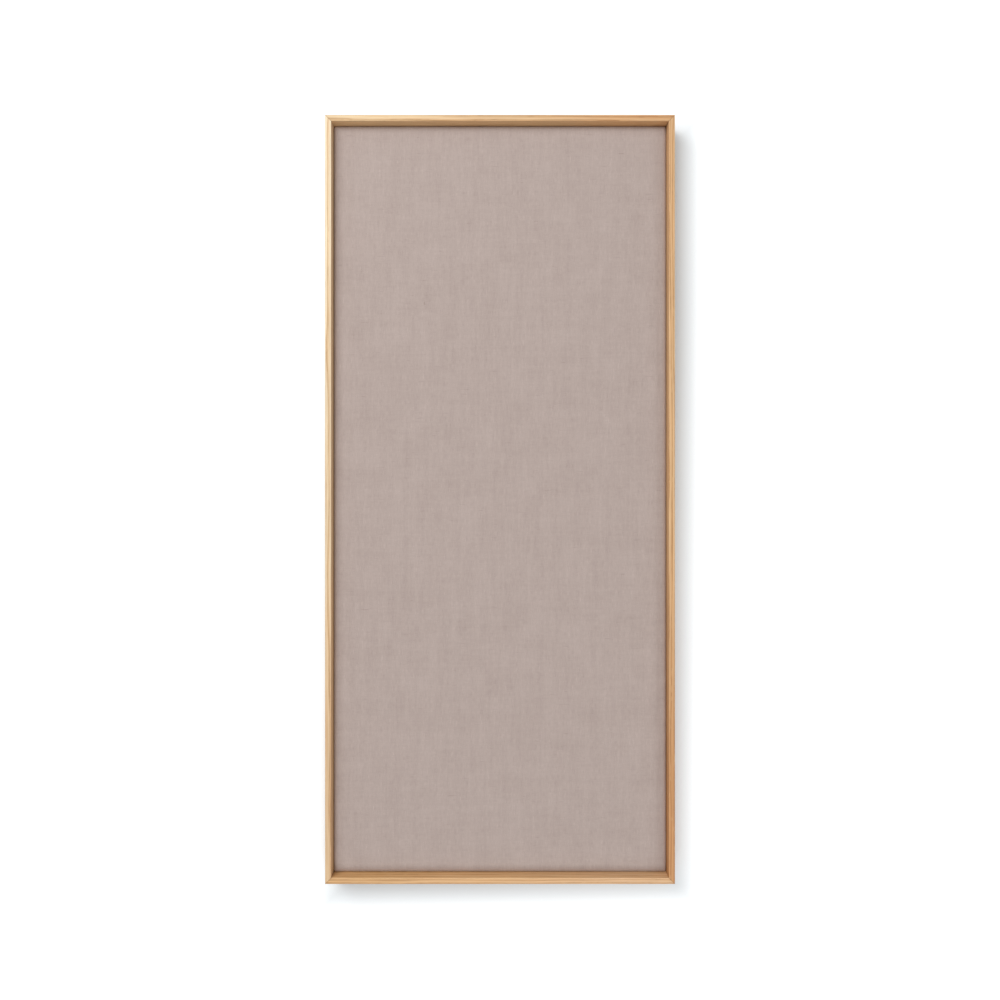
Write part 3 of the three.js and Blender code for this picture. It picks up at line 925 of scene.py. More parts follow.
@dataclass
class ScrewShape:
    """A screw with its head at y = 0 upwards and its point down along -y."""

    head: float
    shank: float
    length: float
    tip: float
    countersunk: bool
    rim: float
    dome: float = 0.0
    slot: float = 0.0036
    slot_width: float = 0.0008
    slot_depth: float = 0.0012
    slot_taper: tuple[float, float, float] = (0.42, 1.0, 0.7)
    pitch: float = 0.0011
    thread: float = 0.00018
    sides: int = 40
    thread_steps: int = 14
    dome_steps: int = 7

    @property
    def top(self) -> float:
        """The height of the head's middle."""
        return 0.0 if self.countersunk else self.rim + self.dome

    def outline(self) -> list[tuple[float, float]]:
        """The half outline, from the point up to the middle of the head.

        Returns:
            Its (radius, y) points.
        """
        head, shank = self.head / 2, self.shank / 2
        point = [(0.0, -self.length), (shank, self.tip - self.length)]
        if self.countersunk:
            edge = 0.25 * self.rim
            cone = [(shank, shank - head - self.rim), (head, -self.rim)]
            return [*point, *cone, (head, -edge), (head - edge, 0.0), (0.0, self.top)]
        arc = quarter_turn(self.dome_steps)[:-1]
        crown = [(head * math.cos(a), self.rim + self.dome * math.sin(a)) for a in arc]
        return [*point, (shank, 0.0), (head, 0.0), *crown, (0.0, self.top)]

    def shape(self) -> Shape:
        """The whole screw: its body with a cross cut into the head, and its thread.

        Returns:
            The screw.
        """
        bars = [self._blade(turn) for turn in (0.0, math.pi / 2)]
        body = cut_by(turned(self.outline(), self.sides), bars)
        mesh = as_mesh(self._thread(), "thread")
        body.from_mesh(mesh)
        bpy.data.meshes.remove(mesh)
        return body

    def _blade(self, turn: float) -> Shape:
        """One bar of the cross, narrower and shorter at its bottom.

        Args:
            turn: The bar's angle about the screw's axis.

        Returns:
            The bar.
        """
        shape = bmesh.new()
        bmesh.ops.create_cube(shape, size=1.0)
        bmesh.ops.scale(shape, verts=shape.verts, vec=(self.slot, 2.0 * self.slot_depth, self.slot_width))
        low = [corner for corner in shape.verts if corner.co.y < 0.0]
        bmesh.ops.scale(shape, verts=low, vec=self.slot_taper)
        return moved(shape, Matrix.Rotation(turn, 4, "Y") @ Matrix.Translation((0.0, self.top, 0.0)))

    def _thread(self) -> Shape:
        """The thread: a ridge that climbs the shank from the tip.

        Returns:
            The thread, closed at both ends.
        """
        shape = bmesh.new()
        start = Matrix.Translation((self.shank / 2, self.tip - self.length, 0.0))
        ridge = circle(shape, self.thread, 3, start)
        head = self.head / 2 if self.countersunk else 0.0
        rise = self.length - self.tip - head - self.pitch
        turns = max(1, math.floor(rise / self.pitch))
        sweep = Sweep(shape, ridge)
        sweep.turn(Vector(), Y_AXIS, turns * math.tau, turns * self.thread_steps, turns * self.pitch)
        return closed_ends(shape)


@dataclass
class OakFrame:
    """The four slats of the tray frame and the V-nails at their mitres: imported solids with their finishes."""

    nodes: dict[str, Thing]
    half_size: tuple[float, float]
    middle: float

    def slats(self) -> dict[str, Oak]:
        """The oak of each slat: each is a board of its own, with its own grain.

        Returns:
            Each slat's name with its oak.
        """
        width, height = self.half_size
        top, bottom = self.middle + height, self.middle - height
        level, upright = Grain
        # The fifth entry of each board is its tint along it: below 0 a painted highlight of the window,
        # strongest at the upper left, above 0 a deeper tone.
        boards = {
            "stile_left": (
                upright, (0.055, -width - 0.03), 0.37, 0.92, (-0.65, -1.95, -2.80), (-0.12, -0.26, -0.46)
            ),
            "stile_right": (
                upright, (0.04, width + 0.06), 2.11, 0.96, (1.25, -0.22, 0.0), (-0.13, -0.26, -0.38)
            ),
            "rail_top": (level, (0.07, top + 0.05), 1.23, 1.0, (-1.20, -0.38, 0.35), (-0.10, -0.26, -0.40)),
            "rail_bottom": (
                level, (0.03, bottom - 0.07), 3.05, 1.02, (0.35, 0.0, -0.35), (-0.13, -0.20, -0.44)
            ),
        }
        place = (self.half_size, self.middle)
        return {name: Oak(f"oak_{name}", *place, *board) for name, board in boards.items()}

    def dress(self, steel: Material) -> None:
        """Gives the slats and the V-nails their finishes.

        Args:
            steel: The finish of the nails.
        """
        for name, oak in self.slats().items():
            dress_node(self.nodes[name], oak.material())
        for name, thing in self.nodes.items():
            if name.startswith("corner_v_nail"):
                dress_node(thing, steel)


def dress_node(node: Thing, material: Material) -> None:
    """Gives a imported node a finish.

    Args:
        node: The node's object.
        material: The finish.
    """
    for slot in node.material_slots:
        slot.material = material
    if not node.material_slots:
        node.data.materials.append(material)
    LOG.info("%s: finish %s", node.name, material.name)


@dataclass
class LinenCover:
    """The linen: one sheet over the panel's front, rolled over its edges and turned in behind."""

    turn_in: float = 0.028
    thickness: float = 0.0005
    roll_width: float = 0.0065
    roll_drop: float = 0.0035
    back_roll: float = 0.001
    corner_radius: float = 0.0028
    corner_cuts: tuple[float, ...] = (0.35, 0.7, 1.05)
    cell: float = 0.008
    slack: float = 0.00012
    puff: float = 0.0005
    fray: float = 0.0006
    frayed: float = 0.0005
    sag_waves: float = 14.0
    ripple_waves: float = 38.0
    ripple_share: float = 0.6
    fray_waves: float = 210.0
    firm_edge: float = 0.02
    fold_lip: float = 0.0011
    flap_settles: float = 0.0003
    ledge_reach: float = 0.0136
    flap_steps: tuple[float, ...] = (0.006, 0.011, ledge_reach, 0.0155, 0.018, 0.0205, 0.023, 0.0255, turn_in)
    low: Vector = field(init=False)
    high: Vector = field(init=False)

    def __post_init__(self) -> None:
        """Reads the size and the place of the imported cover."""
        self.low, self.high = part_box("linen_cover")

    @property
    def middle(self) -> Vector:
        """The middle of the cover."""
        return (self.low + self.high) / 2

    @property
    def half(self) -> Vector:
        """Half the size of the cover."""
        return (self.high - self.low) / 2

    @property
    def flat_size(self) -> tuple[float, float]:
        """The width and the length that the sheet was cut to."""
        side = self.high.y - self.low.y
        return tuple(2 * (half + side + self.turn_in) for half in (self.half.x, self.half.z))

    def levels(self) -> list[tuple[float, float]]:
        """The (inset, y) of each ring of the cloth, from the edge of the flat front to the cut edge.

        Returns:
            The rings, in order.
        """
        front, back = self.low.y, self.high.y
        arc = quarter_turn(8)
        width, drop, bend = self.roll_width, self.roll_drop, self.back_roll
        roll = [(width * (1 - math.sin(a)), front + drop * (1 - math.cos(a))) for a in arc]
        hem = [(bend * (1 - math.cos(a)), back - bend * (1 - math.sin(a))) for a in arc[::2]]
        sunk = self.flap_settles
        return roll + hem + [(inset, back - sunk * inset / self.turn_in) for inset in self.flap_steps]

    def shape(self) -> Shape:
        """The sheet's outer face, wrapped round the panel.

        Returns:
            The face, in its place.
        """
        shape = bmesh.new()
        half = self.half
        across, up = (max(2, round(2 * size / self.cell)) for size in (half.x, half.z))
        bmesh.ops.create_grid(shape, x_segments=across, y_segments=up, size=1.0, matrix=UPRIGHT)
        (inset, y), *rings = self.levels()
        size = Vector((half.x - inset, 1.0, half.z - inset))
        bmesh.ops.scale(shape, verts=shape.verts, vec=size)
        bmesh.ops.translate(shape, verts=shape.verts, vec=(0.0, y, 0.0))
        self._cut_near_corners(shape, size)
        reach_layer = shape.verts.layers.float.new("reach")
        self._rings(shape, rings, (inset, y), reach_layer)
        self._weave_map(shape, size, reach_layer)
        self._fold_corners(shape)
        self._settle(shape)
        bmesh.ops.translate(shape, verts=shape.verts, vec=(self.middle.x, 0.0, self.middle.z))
        return shape

    def _cut_near_corners(self, shape: Shape, size: Vector) -> None:
        """Cuts the front close to its four sides, so that the corners can be rounded.

        Args:
            shape: The flat front.
            size: Half its size.
        """
        for share in self.corner_cuts:
            back_off = share * self.corner_radius
            for normal, reach in ((X_AXIS, size.x), (Z_AXIS, size.z)):
                for sign in (-1.0, 1.0):
                    sliced(shape, normal * (sign * (reach - back_off)), normal)

    def _rings(self, shape: Shape, rings: Points, start: tuple[float, float], reach_layer: Layer) -> None:
        """Draws the cloth out round the panel, ring by ring.

        Args:
            shape: The flat front.
            rings: The (inset, y) of each further ring.
            start: The inset and y of the front's edge.
            reach_layer: Keeps how far along the cloth each corner lies from the flat front.
        """
        half = self.half
        last_inset, last_y = start
        reach = 0.0
        sweep = Sweep(shape, [edge for edge in shape.edges if edge.is_boundary])
        for inset, y in rings:
            sweep.run(Vector((0.0, y - last_y, 0.0)))
            corners = list({corner for edge in sweep.end for corner in edge.verts})
            factors = [(size - inset) / (size - last_inset) for size in (half.x, half.z)]
            bmesh.ops.scale(shape, verts=corners, vec=(factors[0], 1.0, factors[1]))
            reach += math.hypot(inset - last_inset, y - last_y)
            for corner in corners:
                corner[reach_layer] = reach
            last_inset, last_y = inset, y

    def _weave_map(self, shape: Shape, size: Vector, reach_layer: Layer) -> None:
        """Writes each corner's place in the flat cloth into the map that the weave follows.

        Args:
            shape: The wrapped sheet, about the panel's middle.
            size: Half the size of the flat front.
            reach_layer: How far along the cloth each corner lies from the flat front.
        """
        weave = shape.loops.layers.uv.new(Linen.uv_map)
        for face in shape.faces:
            centre = face.calc_center_median()
            on_side = self.half.x - abs(centre.x) < self.half.z - abs(centre.z)
            for loop in face.loops:
                corner = loop.vert
                reach = corner[reach_layer]
                flat = Vector((corner.co.x, corner.co.z))
                if reach > 0.0 and on_side:
                    flat.x = math.copysign(size.x + reach, centre.x)
                elif reach > 0.0:
                    flat.y = math.copysign(size.z + reach, centre.z)
                loop[weave].uv = flat + Vector((self.middle.x, self.middle.z))

    def _fold_corners(self, shape: Shape) -> None:
        """Folds the upper and lower flaps over the side flaps, with a rolled lip along each diagonal.

        Args:
            shape: The wrapped sheet, about the panel's middle.
        """
        for side in (-1.0, 1.0):
            for end in (-1.0, 1.0):
                diagonal = [edge for edge in shape.edges if self._on_diagonal(edge, side, end)]
                bmesh.ops.split_edges(shape, edges=diagonal)
                rims = [edge for edge in shape.edges if edge.is_boundary and self._in_end_flap(edge)]
                lips = [edge for edge in rims if self._on_diagonal(edge, side, end)]
                outwards = Vector((side, 0.0, -end)).normalized()
                step = self.fold_lip / 3
                sweep = Sweep(shape, lips)
                sweep.run(outwards * 2 * step + Y_AXIS * step)
                sweep.run(outwards * step - Y_AXIS * 0.4 * step)
                sweep.run(-Y_AXIS * 0.8 * step)

    def _on_diagonal(self, edge: Edge, side: float, end: float) -> bool:
        """Whether an edge lies on the diagonal of one corner, on the back, inside the ledge.

        Args:
            edge: The edge.
            side: The corner's side, -1 left or 1 right.
            end: The corner's end, -1 below or 1 above.

        Returns:
            True if it does.
        """
        half = self.half
        insets = [(half.x - side * corner.co.x, half.z - end * corner.co.z) for corner in edge.verts]
        return all(
            abs(across - along) < WELD * 10 and self.ledge_reach - WELD < across < self.turn_in + WELD
            for across, along in insets
        )

    def _in_end_flap(self, edge: Edge) -> bool:
        """Whether the face beside an edge belongs to the upper or lower flap."""
        centre = edge.link_faces[0].calc_center_median()
        return self.half.z - abs(centre.z) < self.half.x - abs(centre.x)

    def _settle(self, shape: Shape) -> None:
        """Rounds the corners, lets the cloth give a little, and makes its cut edge uneven.

        Args:
            shape: The folded sheet, about the panel's middle.
        """
        half = self.half
        centre = Vector((half.x - self.corner_radius, half.z - self.corner_radius))
        for corner in shape.verts:
            place = corner.co
            beyond = Vector((abs(place.x) - centre.x, abs(place.z) - centre.y))
            if min(beyond) > 0.0:
                beyond *= max(beyond) / beyond.length
                place.x = math.copysign(centre.x + beyond.x, place.x)
                place.z = math.copysign(centre.y + beyond.y, place.z)
            inset = min(half.x - abs(place.x), half.z - abs(place.z))
            if place.y < self.low.y + WELD:
                sag = noise.noise(Vector((place.x, 0.0, place.z)) * self.sag_waves) - 1.0
                place.y -= self.slack * sag * min(1.0, inset / self.firm_edge)
            elif inset > self.ledge_reach:
                loose = (inset - self.ledge_reach) / (self.turn_in - self.ledge_reach)
                ripple = noise.noise(Vector((place.x, 1.0, place.z)) * self.ripple_waves)
                place.y += self.puff * loose * (0.5 + ripple) * self.ripple_share
                if inset > self.turn_in - self.frayed:
                    ragged = self.fray * noise.noise(Vector((place.x, 2.0, place.z)) * self.fray_waves)
                    if half.x - abs(place.x) < half.z - abs(place.z):
                        place.x += math.copysign(ragged, place.x)
                    else:
                        place.z += math.copysign(ragged, place.z)

    def build(self, workshop: Workshop) -> None:
        """Makes the cloth and gives it its thickness.

        Args:
            workshop: Finishes the piece.
        """
        cloth = workshop.piece(self.shape(), "linen_cloth", Slot.LINEN, ["linen_cover"])
        wall = cloth.modifiers.new("thickness", "SOLIDIFY")
        wall.thickness = self.thickness
        wall.offset = -1.0
        self.flat_size


@dataclass
class Staples:
    """The staples that hold the turned-in linen to the fibreboard."""

    cover: LinenCover
    inset: float = 0.0208
    spacing: float = 0.062
    end_gap: float = 0.045
    crown: float = 0.0102
    leg: float = 0.006
    bend: float = 0.0006
    wire: tuple[float, float] = (0.00088, 0.00056)
    sides: int = 8
    bend_steps: int = 4
    slip: float = 0.004
    waver: float = 0.0009
    lean: float = 0.12
    seed: int = 41

    def places(self) -> Iterator[tuple[float, float, float]]:
        """The x, z and turn of each staple, a little uneven, as when they are put in by hand.

        Returns:
            One staple after another, about the cover's middle.
        """
        chance = random.Random(self.seed)
        half = self.cover.half
        for upright, reach, across in ((True, half.z, half.x), (False, half.x, half.z)):
            run = 2 * (reach - self.end_gap)
            count = round(run / self.spacing) + 1
            for sign in (-1.0, 1.0):
                for index in range(count):
                    along = run * (index / (count - 1) - 0.5) + chance.uniform(-self.slip, self.slip)
                    inwards = sign * (across - self.inset + chance.uniform(-self.waver, self.waver))
                    lean = chance.uniform(-self.lean, self.lean)
                    yield (inwards, along, math.pi / 2 + lean) if upright else (along, inwards, lean)

    def shape(self) -> Shape:
        """One staple, its crown along x with its underside at y = 0 and its legs down along -y.

        Returns:
            The staple.
        """
        shape = bmesh.new()
        wide, high = self.wire
        half, bend = self.crown / 2 - wide / 2, self.bend
        place = Matrix.Translation((-half, -self.leg, 0.0)) @ UPRIGHT
        sweep = Sweep(shape, circle(shape, 0.5, self.sides, place @ Matrix.Diagonal((high, wide, 1.0, 1.0))))
        leg = Y_AXIS * (self.leg + high / 2 - bend)
        sweep.run(leg)
        sweep.turn(Vector((bend - half, high / 2 - bend, 0.0)), -Z_AXIS, math.pi / 2, self.bend_steps)
        sweep.run(X_AXIS * (2 * half - 2 * bend))
        sweep.turn(Vector((half - bend, high / 2 - bend, 0.0)), -Z_AXIS, math.pi / 2, self.bend_steps)
        sweep.run(-leg)
        return closed_ends(shape)

    def build(self, workshop: Workshop) -> None:
        """Makes all the staples as one piece.

        Args:
            workshop: Finishes the piece.
        """
        one = as_mesh(self.shape(), "staple")
        everything = bmesh.new()
        middle = self.cover.middle
        for x, z, turn in self.places():
            before = len(everything.verts)
            everything.from_mesh(one)
            everything.verts.ensure_lookup_table()
            place = Matrix.Translation((middle.x + x, self.cover.high.y, middle.z + z))
            place @= Matrix.Rotation(turn, 4, "Y")
            bmesh.ops.transform(everything, matrix=place, verts=everything.verts[before:])
        bpy.data.meshes.remove(one)
        workshop.piece(everything, "back_staples", Slot.ZINC_STEEL)


@dataclass
class Panel:
    """The stiff layers under the linen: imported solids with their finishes."""

    nodes: dict[str, Thing]

    def dress(self) -> None:
        """Gives the cork and the fibreboard their finishes."""
        dress_node(self.nodes["cork_core"], Cork().material())
        dress_node(self.nodes["fibreboard_back"], Fibreboard().material())


@dataclass
class PanelScrews:
    """The countersunk screws that hold the panel to the frame's ledge."""

    nodes: dict[str, Thing]
    shank: float = 0.0032
    tip: float = 0.0022
    rim: float = 0.0003
    seed: int = 17

    def build(self, workshop: Workshop) -> None:
        """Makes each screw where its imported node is, its cross turned as it was left.

        Args:
            workshop: Finishes the pieces.
        """
        chance = random.Random(self.seed)
        for name in sorted(node for node in self.nodes if node.startswith("panel_screw")):
            low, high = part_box(name)
            screw = ScrewShape(high.x - low.x, self.shank, high.y - low.y, self.tip, True, self.rim)
            middle = (low + high) / 2
            place = Matrix.Translation((middle.x, high.y, middle.z))
            turn = Matrix.Rotation(chance.uniform(0.0, math.pi / 2), 4, "Y")
            workshop.piece(moved(screw.shape(), place @ turn), f"{name}_threaded", Slot.ZINC_STEEL, [name])


@dataclass
class Hanger:
    """One strap hanger: a steel strip folded round the straight side of a D-ring, and its two screws."""

    side: str
    strip: float = 0.0008
    layer_gap: float = 0.0003
    wire: float = 0.002
    ring_clearance: float = 0.00025
    ring_radius: float = 0.008
    ring_leg: float = 0.005
    ring_bend: float = 0.002
    stop_gap: float = 0.0003
    loop_end: float = math.radians(150)
    unfold_radius: float = 0.001
    edge_round: float = 0.00012
    edge_angle: float = math.radians(50)
    hole: float = 0.0035
    hole_sides: int = 24
    end_round: float = 0.98
    end_steps: int = 9
    screw_shank: float = 0.003
    screw_tip: float = 0.002
    screw_rim: float = 0.0006
    screw_slot: float = 0.0034
    wire_sides: int = 22
    bow_steps: int = 40
    bend_steps: int = 9
    fold_cuts: int = 34
    cross_turns: dict[str, float] = field(default_factory=lambda: {"left": 0.7, "right": 0.2})
    low: Vector = field(init=False)
    high: Vector = field(init=False)

    def __post_init__(self) -> None:
        """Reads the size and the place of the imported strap."""
        self.low, self.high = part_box(f"hanger_strap_{self.side}")

    @property
    def width(self) -> float:
        """The strip's width."""
        return self.high.x - self.low.x

    @property
    def axis_height(self) -> float:
        """The height of the ring's axis above the frame's back."""
        return self.strip + self.ring_clearance + self.wire / 2

    @property
    def axis(self) -> Vector:
        """The middle of the ring's axis."""
        middle = (self.low.x + self.high.x) / 2
        return Vector((middle, self.low.y + self.axis_height, self.high.z - self.axis_height))

    @property
    def strap_length(self) -> float:
        """How far the strap reaches below the ring's axis."""
        return self.axis.z - self.low.z

    @property
    def strap_top(self) -> float:
        """The height of the strap's outer layer above the frame's back."""
        return 2 * self.strip + self.layer_gap

    def screw_drops(self) -> list[float]:
        """How far below the ring's axis each screw stands."""
        boxes = [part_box(f"hanger_screw_{self.side}_{number}") for number in (1, 2)]
        return [self.axis.z - (low.z + high.z) / 2 for low, high in boxes]

    def strap(self) -> Shape:
        """The strap: cut flat with its holes and round ends, then folded round the ring's wire.

        Returns:
            The strap, about the frame's back under the axis.
        """
        (start, end), length = self._bends()
        shape = bmesh.new()
        half = self.width / 2
        outline = ((-half, 0.0), (half, 0.0), (half, length), (-half, length))
        corners = [shape.verts.new((x, 0.0, z)) for x, z in outline]
        shape.faces.new(corners)
        bmesh.ops.bevel(
            shape, geom=corners, offset=self.end_round * half, offset_type="OFFSET", affect="VERTICES",
            segments=self.end_steps, profile=0.5, material=-1,
        )
        bmesh.ops.delete(shape, geom=list(shape.faces), context="FACES_ONLY")
        for drop in self.screw_drops():
            for along in (self.strap_length - drop, length - self.strap_length + drop):
                circle(shape, self.hole / 2, self.hole_sides, Matrix.Translation((0.0, 0.0, along)) @ UPRIGHT)
        bmesh.ops.triangle_fill(shape, use_beauty=True, edges=list(shape.edges), normal=Y_AXIS)
        for index in range(self.fold_cuts + 1):
            sliced(shape, Z_AXIS * (start + (end - start) * index / self.fold_cuts), Z_AXIS, WELD)
        for corner in shape.verts:
            corner.co = self._folded(corner.co)
        bmesh.ops.recalc_face_normals(shape, faces=shape.faces)
        bmesh.ops.solidify(shape, geom=list(shape.faces), thickness=-self.strip)
        return softened(tidied(shape), self.edge_round, self.edge_angle)

    def _bends(self) -> tuple[tuple[float, float], float]:
        """Where the folding starts and ends along the flat strip, and the strip's length.

        Returns:
            The two places, and the length.
        """
        pieces = self._path()
        bent = sum(length for length, _ in pieces[1:-1])
        start = pieces[0][0]
        return (start, start + bent), start + bent + pieces[-1][0]

    def _path(self) -> list[tuple[float, float]]:
        """The (length, turn in radians) of each stretch of the strip's middle, from one end to the other.

        Returns:
            The stretches, in order.
        """
        radius = self.axis_height - self.strip / 2
        unfold = math.pi / 2 + self.loop_end - math.pi
        height = self.axis_height + radius * math.sin(self.loop_end)
        fall = height - (self.strap_top - self.strip / 2)
        slope = (fall - self.unfold_radius * (1 - math.cos(unfold))) / math.sin(unfold)
        back_reach = -radius * math.cos(self.loop_end)
        front_start = back_reach + slope * math.cos(unfold) + self.unfold_radius * math.sin(unfold)
        loop = math.pi / 2 + self.loop_end
        return [
            (self.strap_length, 0.0),
            (radius * loop, loop),
            (slope, 0.0),
            (self.unfold_radius * unfold, -unfold),
            (self.strap_length - front_start, 0.0),
        ]

    def _folded(self, flat: Vector) -> Vector:
        """A point of the flat strip where the folding takes it, about the frame's back under the axis.

        Args:
            flat: The point, with its z along the strip.

        Returns:
            Its place.
        """
        left = flat.z
        point = Vector((-self.strap_length, self.strip / 2))
        heading = 0.0
        for length, turn in self._path():
            step = min(left, length)
            if turn == 0.0:
                point += step * Vector((math.cos(heading), math.sin(heading)))
            else:
                radius = length / turn
                swung = heading + step / radius
                forwards = math.sin(swung) - math.sin(heading)
                point += radius * Vector((forwards, math.cos(heading) - math.cos(swung)))
                heading = swung
            left -= step
            if left <= 0.0:
                break
        outwards = Vector((math.sin(heading), -math.cos(heading))) * self.strip / 2
        return Vector((flat.x, point.y + outwards.y, point.x + outwards.x))

    def ring(self) -> Shape:
        """The D-ring, hanging against the edges of its strap.

        Returns:
            The ring, in its place.
        """
        shape = bmesh.new()
        radius, leg, bend = self.ring_radius, self.ring_leg, self.ring_bend
        section = circle(shape, self.wire / 2, self.wire_sides, Matrix.Translation((radius, 0.0, -leg)))
        sweep = Sweep(shape, section)
        sweep.turn(Vector((0.0, 0.0, -leg)), Y_AXIS, math.pi, self.bow_steps)
        sweep.run(Z_AXIS * (leg - bend))
        sweep.turn(Vector((bend - radius, 0.0, -bend)), Y_AXIS, math.pi / 2, self.bend_steps)
        sweep.run(X_AXIS * 2 * (radius - bend))
        sweep.turn(Vector((radius - bend, 0.0, -bend)), Y_AXIS, math.pi / 2, self.bend_steps)
        sweep.run(-Z_AXIS * (leg - bend))
        lean = Matrix.Rotation(self._rest_lean(), 4, "X")
        return moved(tidied(shape, self.wire / 1000), Matrix.Translation(self.axis) @ lean)

    def _rest_lean(self) -> float:
        """How far the hanging ring leans out, where its wire lies on the strap's edges."""
        crossing = self.ring_leg + math.sqrt(self.ring_radius**2 - (self.width / 2) ** 2)
        return math.asin((self.strap_top + self.stop_gap + self.wire / 2 - self.axis_height) / crossing)

    def screw(self, number: int) -> Shape:
        """One of the two round-headed screws.

        Args:
            number: 1 or 2, from the ring down.

        Returns:
            The screw in its place.
        """
        low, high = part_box(f"hanger_screw_{self.side}_{number}")
        under_head = self.low.y + self.strap_top
        dome = high.y - under_head - self.screw_rim
        screw = ScrewShape(
            high.x - low.x, self.screw_shank, under_head - low.y, self.screw_tip, False, self.screw_rim, dome,
            self.screw_slot,
        )
        middle = (low + high) / 2
        turn = Matrix.Rotation(0.4 * number + self.cross_turns[self.side], 4, "Y")
        return moved(screw.shape(), Matrix.Translation((middle.x, under_head, middle.z)) @ turn)

    def build(self, workshop: Workshop) -> None:
        """Makes the strap, the ring and the screws.

        Args:
            workshop: Finishes the pieces.
        """
        steel = Slot.ZINC_STEEL
        under_axis = Matrix.Translation((self.axis.x, self.low.y, self.axis.z))
        strap = moved(self.strap(), under_axis)
        workshop.piece(strap, f"folded_strap_{self.side}", steel, [f"hanger_strap_{self.side}"])
        ring = f"hanger_ring_{self.side}"
        workshop.piece(self.ring(), f"d_ring_{self.side}", steel, [ring], f"ring_{self.side}")
        for number in (1, 2):
            node = f"hanger_screw_{self.side}_{number}"
            workshop.piece(self.screw(number), f"{node}_domed", steel, [node])


@dataclass
class WallPads:
    """The moulded rubber pads at the corners of the back, each on a thin disc of adhesive foam."""

    corners: tuple[str, ...] = ("bottom_left", "bottom_right", "top_right", "top_left")
    foam: float = 0.0006
    draft: float = 0.00025
    round_edge: float = 0.0009
    dish: float = 0.00018
    sides: int = 56

    def shape(self, radius: float, height: float) -> Shape:
        """One pad, standing on y = 0.

        Args:
            radius: Its radius.
            height: How far it stands off the frame.

        Returns:
            The pad.
        """
        waist = radius - self.draft
        shoulder = waist - self.draft - self.round_edge
        bend = self.round_edge
        edge = [
            (shoulder + bend * math.cos(a), height - bend * (1 - math.sin(a))) for a in quarter_turn(6)
        ]
        outline = [
            (0.0, 0.0),
            (radius, 0.0),
            (radius, self.foam),
            (waist - self.draft, self.foam),
            (waist - self.draft, 1.2 * self.foam),
            (waist, 1.5 * self.foam),
            *edge,
            (0.62 * shoulder, height),
            (0.57 * shoulder, height - self.dish),
            (0.22 * shoulder, height - self.dish),
            (0.18 * shoulder, height - 0.5 * self.dish),
            (0.0, height - 0.4 * self.dish),
        ]
        return turned(outline, self.sides)

    def build(self, workshop: Workshop) -> None:
        """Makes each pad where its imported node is.

        Args:
            workshop: Finishes the pieces.
        """
        for corner in self.corners:
            low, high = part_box(f"wall_pad_{corner}")
            middle = (low + high) / 2
            pad = self.shape((high.x - low.x) / 2, high.y - low.y)
            pad = moved(pad, Matrix.Translation((middle.x, low.y, middle.z)))
            workshop.piece(pad, f"moulded_pad_{corner}", Slot.PAD_RUBBER, [f"wall_pad_{corner}"])


@dataclass
class StudioCamera:
    """The photograph's camera: level, a little under a metre in front of the frame."""

    place: tuple[float, float, float] = (0.0, -0.962, -0.2581)
    lens: float = 25.68
    sensor: float = 36.0
    rise: float = -0.042

    def build(self) -> None:
        """Makes the camera and gives it to the scene, which shows colours as they are."""
        data = bpy.data.cameras.new("studio_camera")
        data.lens = self.lens
        data.sensor_width = self.sensor
        data.shift_y = self.rise
        camera = linked("studio_camera", data)
        camera.location = self.place
        camera.rotation_euler = (math.pi / 2, 0.0, 0.0)
        bpy.context.scene.camera = camera
        bpy.context.scene.view_settings.view_transform = "Standard"
        LOG.info("studio_camera: lens %.1f mm", self.lens)


@dataclass
class Softbox:
    """A flat lamp that lights what it looks at, to a level where 1 shows a colour as written."""

    name: str
    place: tuple[float, float, float]
    target: tuple[float, float, float]
    size: tuple[float, float]
    level: float

    def build(self) -> None:
        """Makes the lamp."""
        aim = Vector(self.target) - Vector(self.place)
        data = bpy.data.lights.new(self.name, "AREA")
        data.shape = "RECTANGLE"
        data.size, data.size_y = self.size
        data.energy = self.level * (math.pi * aim.length) ** 2
        lamp = linked(self.name, data)
        lamp.location = self.place
        lamp.rotation_euler = aim.to_track_quat("-Z", "Y").to_euler()
        LOG.info("%s: level %.2f", self.name, self.level)


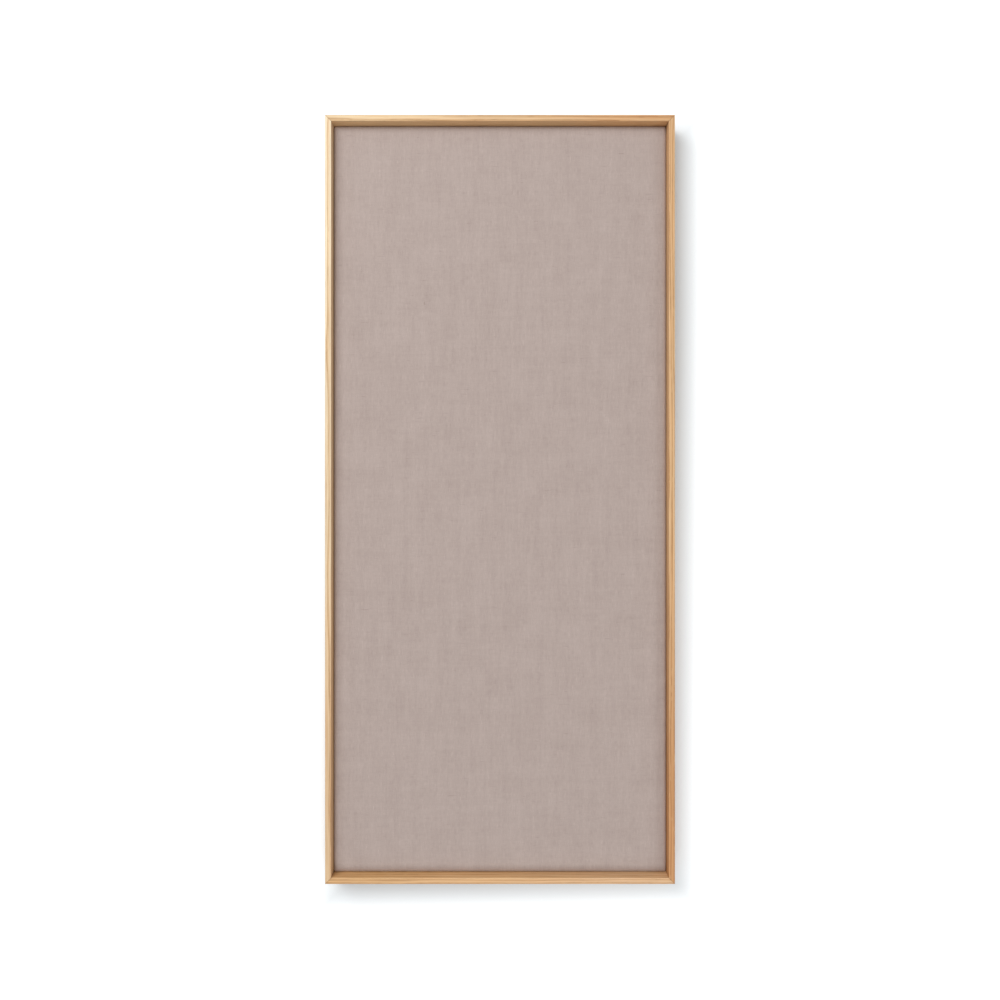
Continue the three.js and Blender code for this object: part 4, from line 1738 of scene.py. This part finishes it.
@dataclass
class Studio:
    """The white wall, the lamps and the light from all round."""

    middle: float
    half_size: tuple[float, float]
    shadow_reach: tuple[float, float, float, float] = (-0.016, 0.0115, -0.018, 0.0235)
    reach: float = 3.0
    ambient: float = 0.395
    lamps: tuple[Softbox, ...] = ()

    def wall(self) -> None:
        """The wall behind the board, which only the camera sees."""
        place = Matrix.Translation((0.0, 0.0, self.middle)) @ UPRIGHT
        shape = bmesh.new()
        bmesh.ops.create_grid(shape, x_segments=1, y_segments=1, size=self.reach, matrix=place)
        wall = as_object(shape, "studio_wall")
        width, height = self.half_size
        left, right, above, below = self.shadow_reach
        low = (-width - left, self.middle - height - below)
        paint = StagePaint(low, (width + right, self.middle + height + above))
        wall.data.materials.append(paint.material())
        for rays in ("diffuse", "glossy", "transmission", "volume_scatter", "shadow"):
            setattr(wall, f"visible_{rays}", False)

    def world(self) -> None:
        """Light from all round, which the camera and the reflections see as white."""
        world = bpy.data.worlds.new("studio_world")
        world.use_nodes = True
        world.node_tree.nodes.clear()
        rays = add_node(world.node_tree, "LightPath").outputs
        seen, glossy, sent = (Signal(rays[f"Is {kind} Ray"]) for kind in ("Camera", "Glossy", "Transmission"))
        white = seen.math("MAXIMUM", glossy.math("MAXIMUM", sent))
        strength = white.then("MapRange", {"Value": white, "To Min": self.ambient})
        light = strength.then("Background", {"Color": WHITE, "Strength": strength})
        add_node(world.node_tree, "OutputWorld", {"Surface": light})
        bpy.context.scene.world = world

    def build(self) -> None:
        """Sets up the wall, the world and the lamps."""
        self.wall()
        self.world()
        for lamp in self.lamps:
            lamp.build()


def studio_lamps(middle: float) -> tuple[Softbox, ...]:
    """The lamps: a window at the upper left, fills at the right and low down, and two behind.

    Args:
        middle: The height of the board's middle.

    Returns:
        The lamps.
    """
    front = (0.0, -0.03, middle)
    back = (0.0, 0.0, middle)
    return (
        Softbox("window_upper_left", (-1.3, -2.0, middle + 1.55), front, (2.0, 1.4), 0.67),
        Softbox("fill_right", (1.9, -1.3, middle - 0.25), front, (0.6, 1.6), 0.18),
        Softbox("fill_low", (0.55, -1.9, middle - 1.3), front, (2.2, 1.5), 0.03),
        Softbox("strip_below", (0.0, -1.8, middle - 1.9), front, (1.6, 0.6), 0.20),
        Softbox("rear_key", (-1.5, 1.8, middle + 1.3), back, (0.8, 0.8), 0.34),
        Softbox("rear_fill", (1.2, 2.4, middle - 0.2), back, (1.6, 1.6), 0.25),
    )


def main() -> None:
    """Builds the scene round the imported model."""
    logging.basicConfig(level=logging.INFO, format="%(name)s: %(message)s")
    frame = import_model()
    StudioCamera().build()

    low, high = (Vector(map(choose, *corners)) for choose, corners in frame_corners(frame["nodes"]))
    middle = (low.z + high.z) / 2
    half_size = (high.x, (high.z - low.z) / 2)
    Studio(middle, half_size, lamps=studio_lamps(middle)).build()

    workshop = Workshop()
    OakFrame(frame["nodes"], half_size, middle).dress(workshop.finishes[Slot.ZINC_STEEL])
    Panel(frame["nodes"]).dress()
    cover = LinenCover()
    cover.build(workshop)
    Staples(cover).build(workshop)
    PanelScrews(frame["nodes"]).build(workshop)
    for side in ("left", "right"):
        Hanger(side).build(workshop)
    WallPads().build(workshop)


def frame_corners(nodes: dict[str, Thing]) -> list[tuple[Callable, list[Vector]]]:
    """The low corners of the four slats' boxes with min, and the high ones with max."""
    boxes = [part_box(name) for name in nodes if name.startswith(("rail_", "stile_"))]
    return [(min, [low for low, _ in boxes]), (max, [high for _, high in boxes])]


if __name__ == "__main__":
    main()
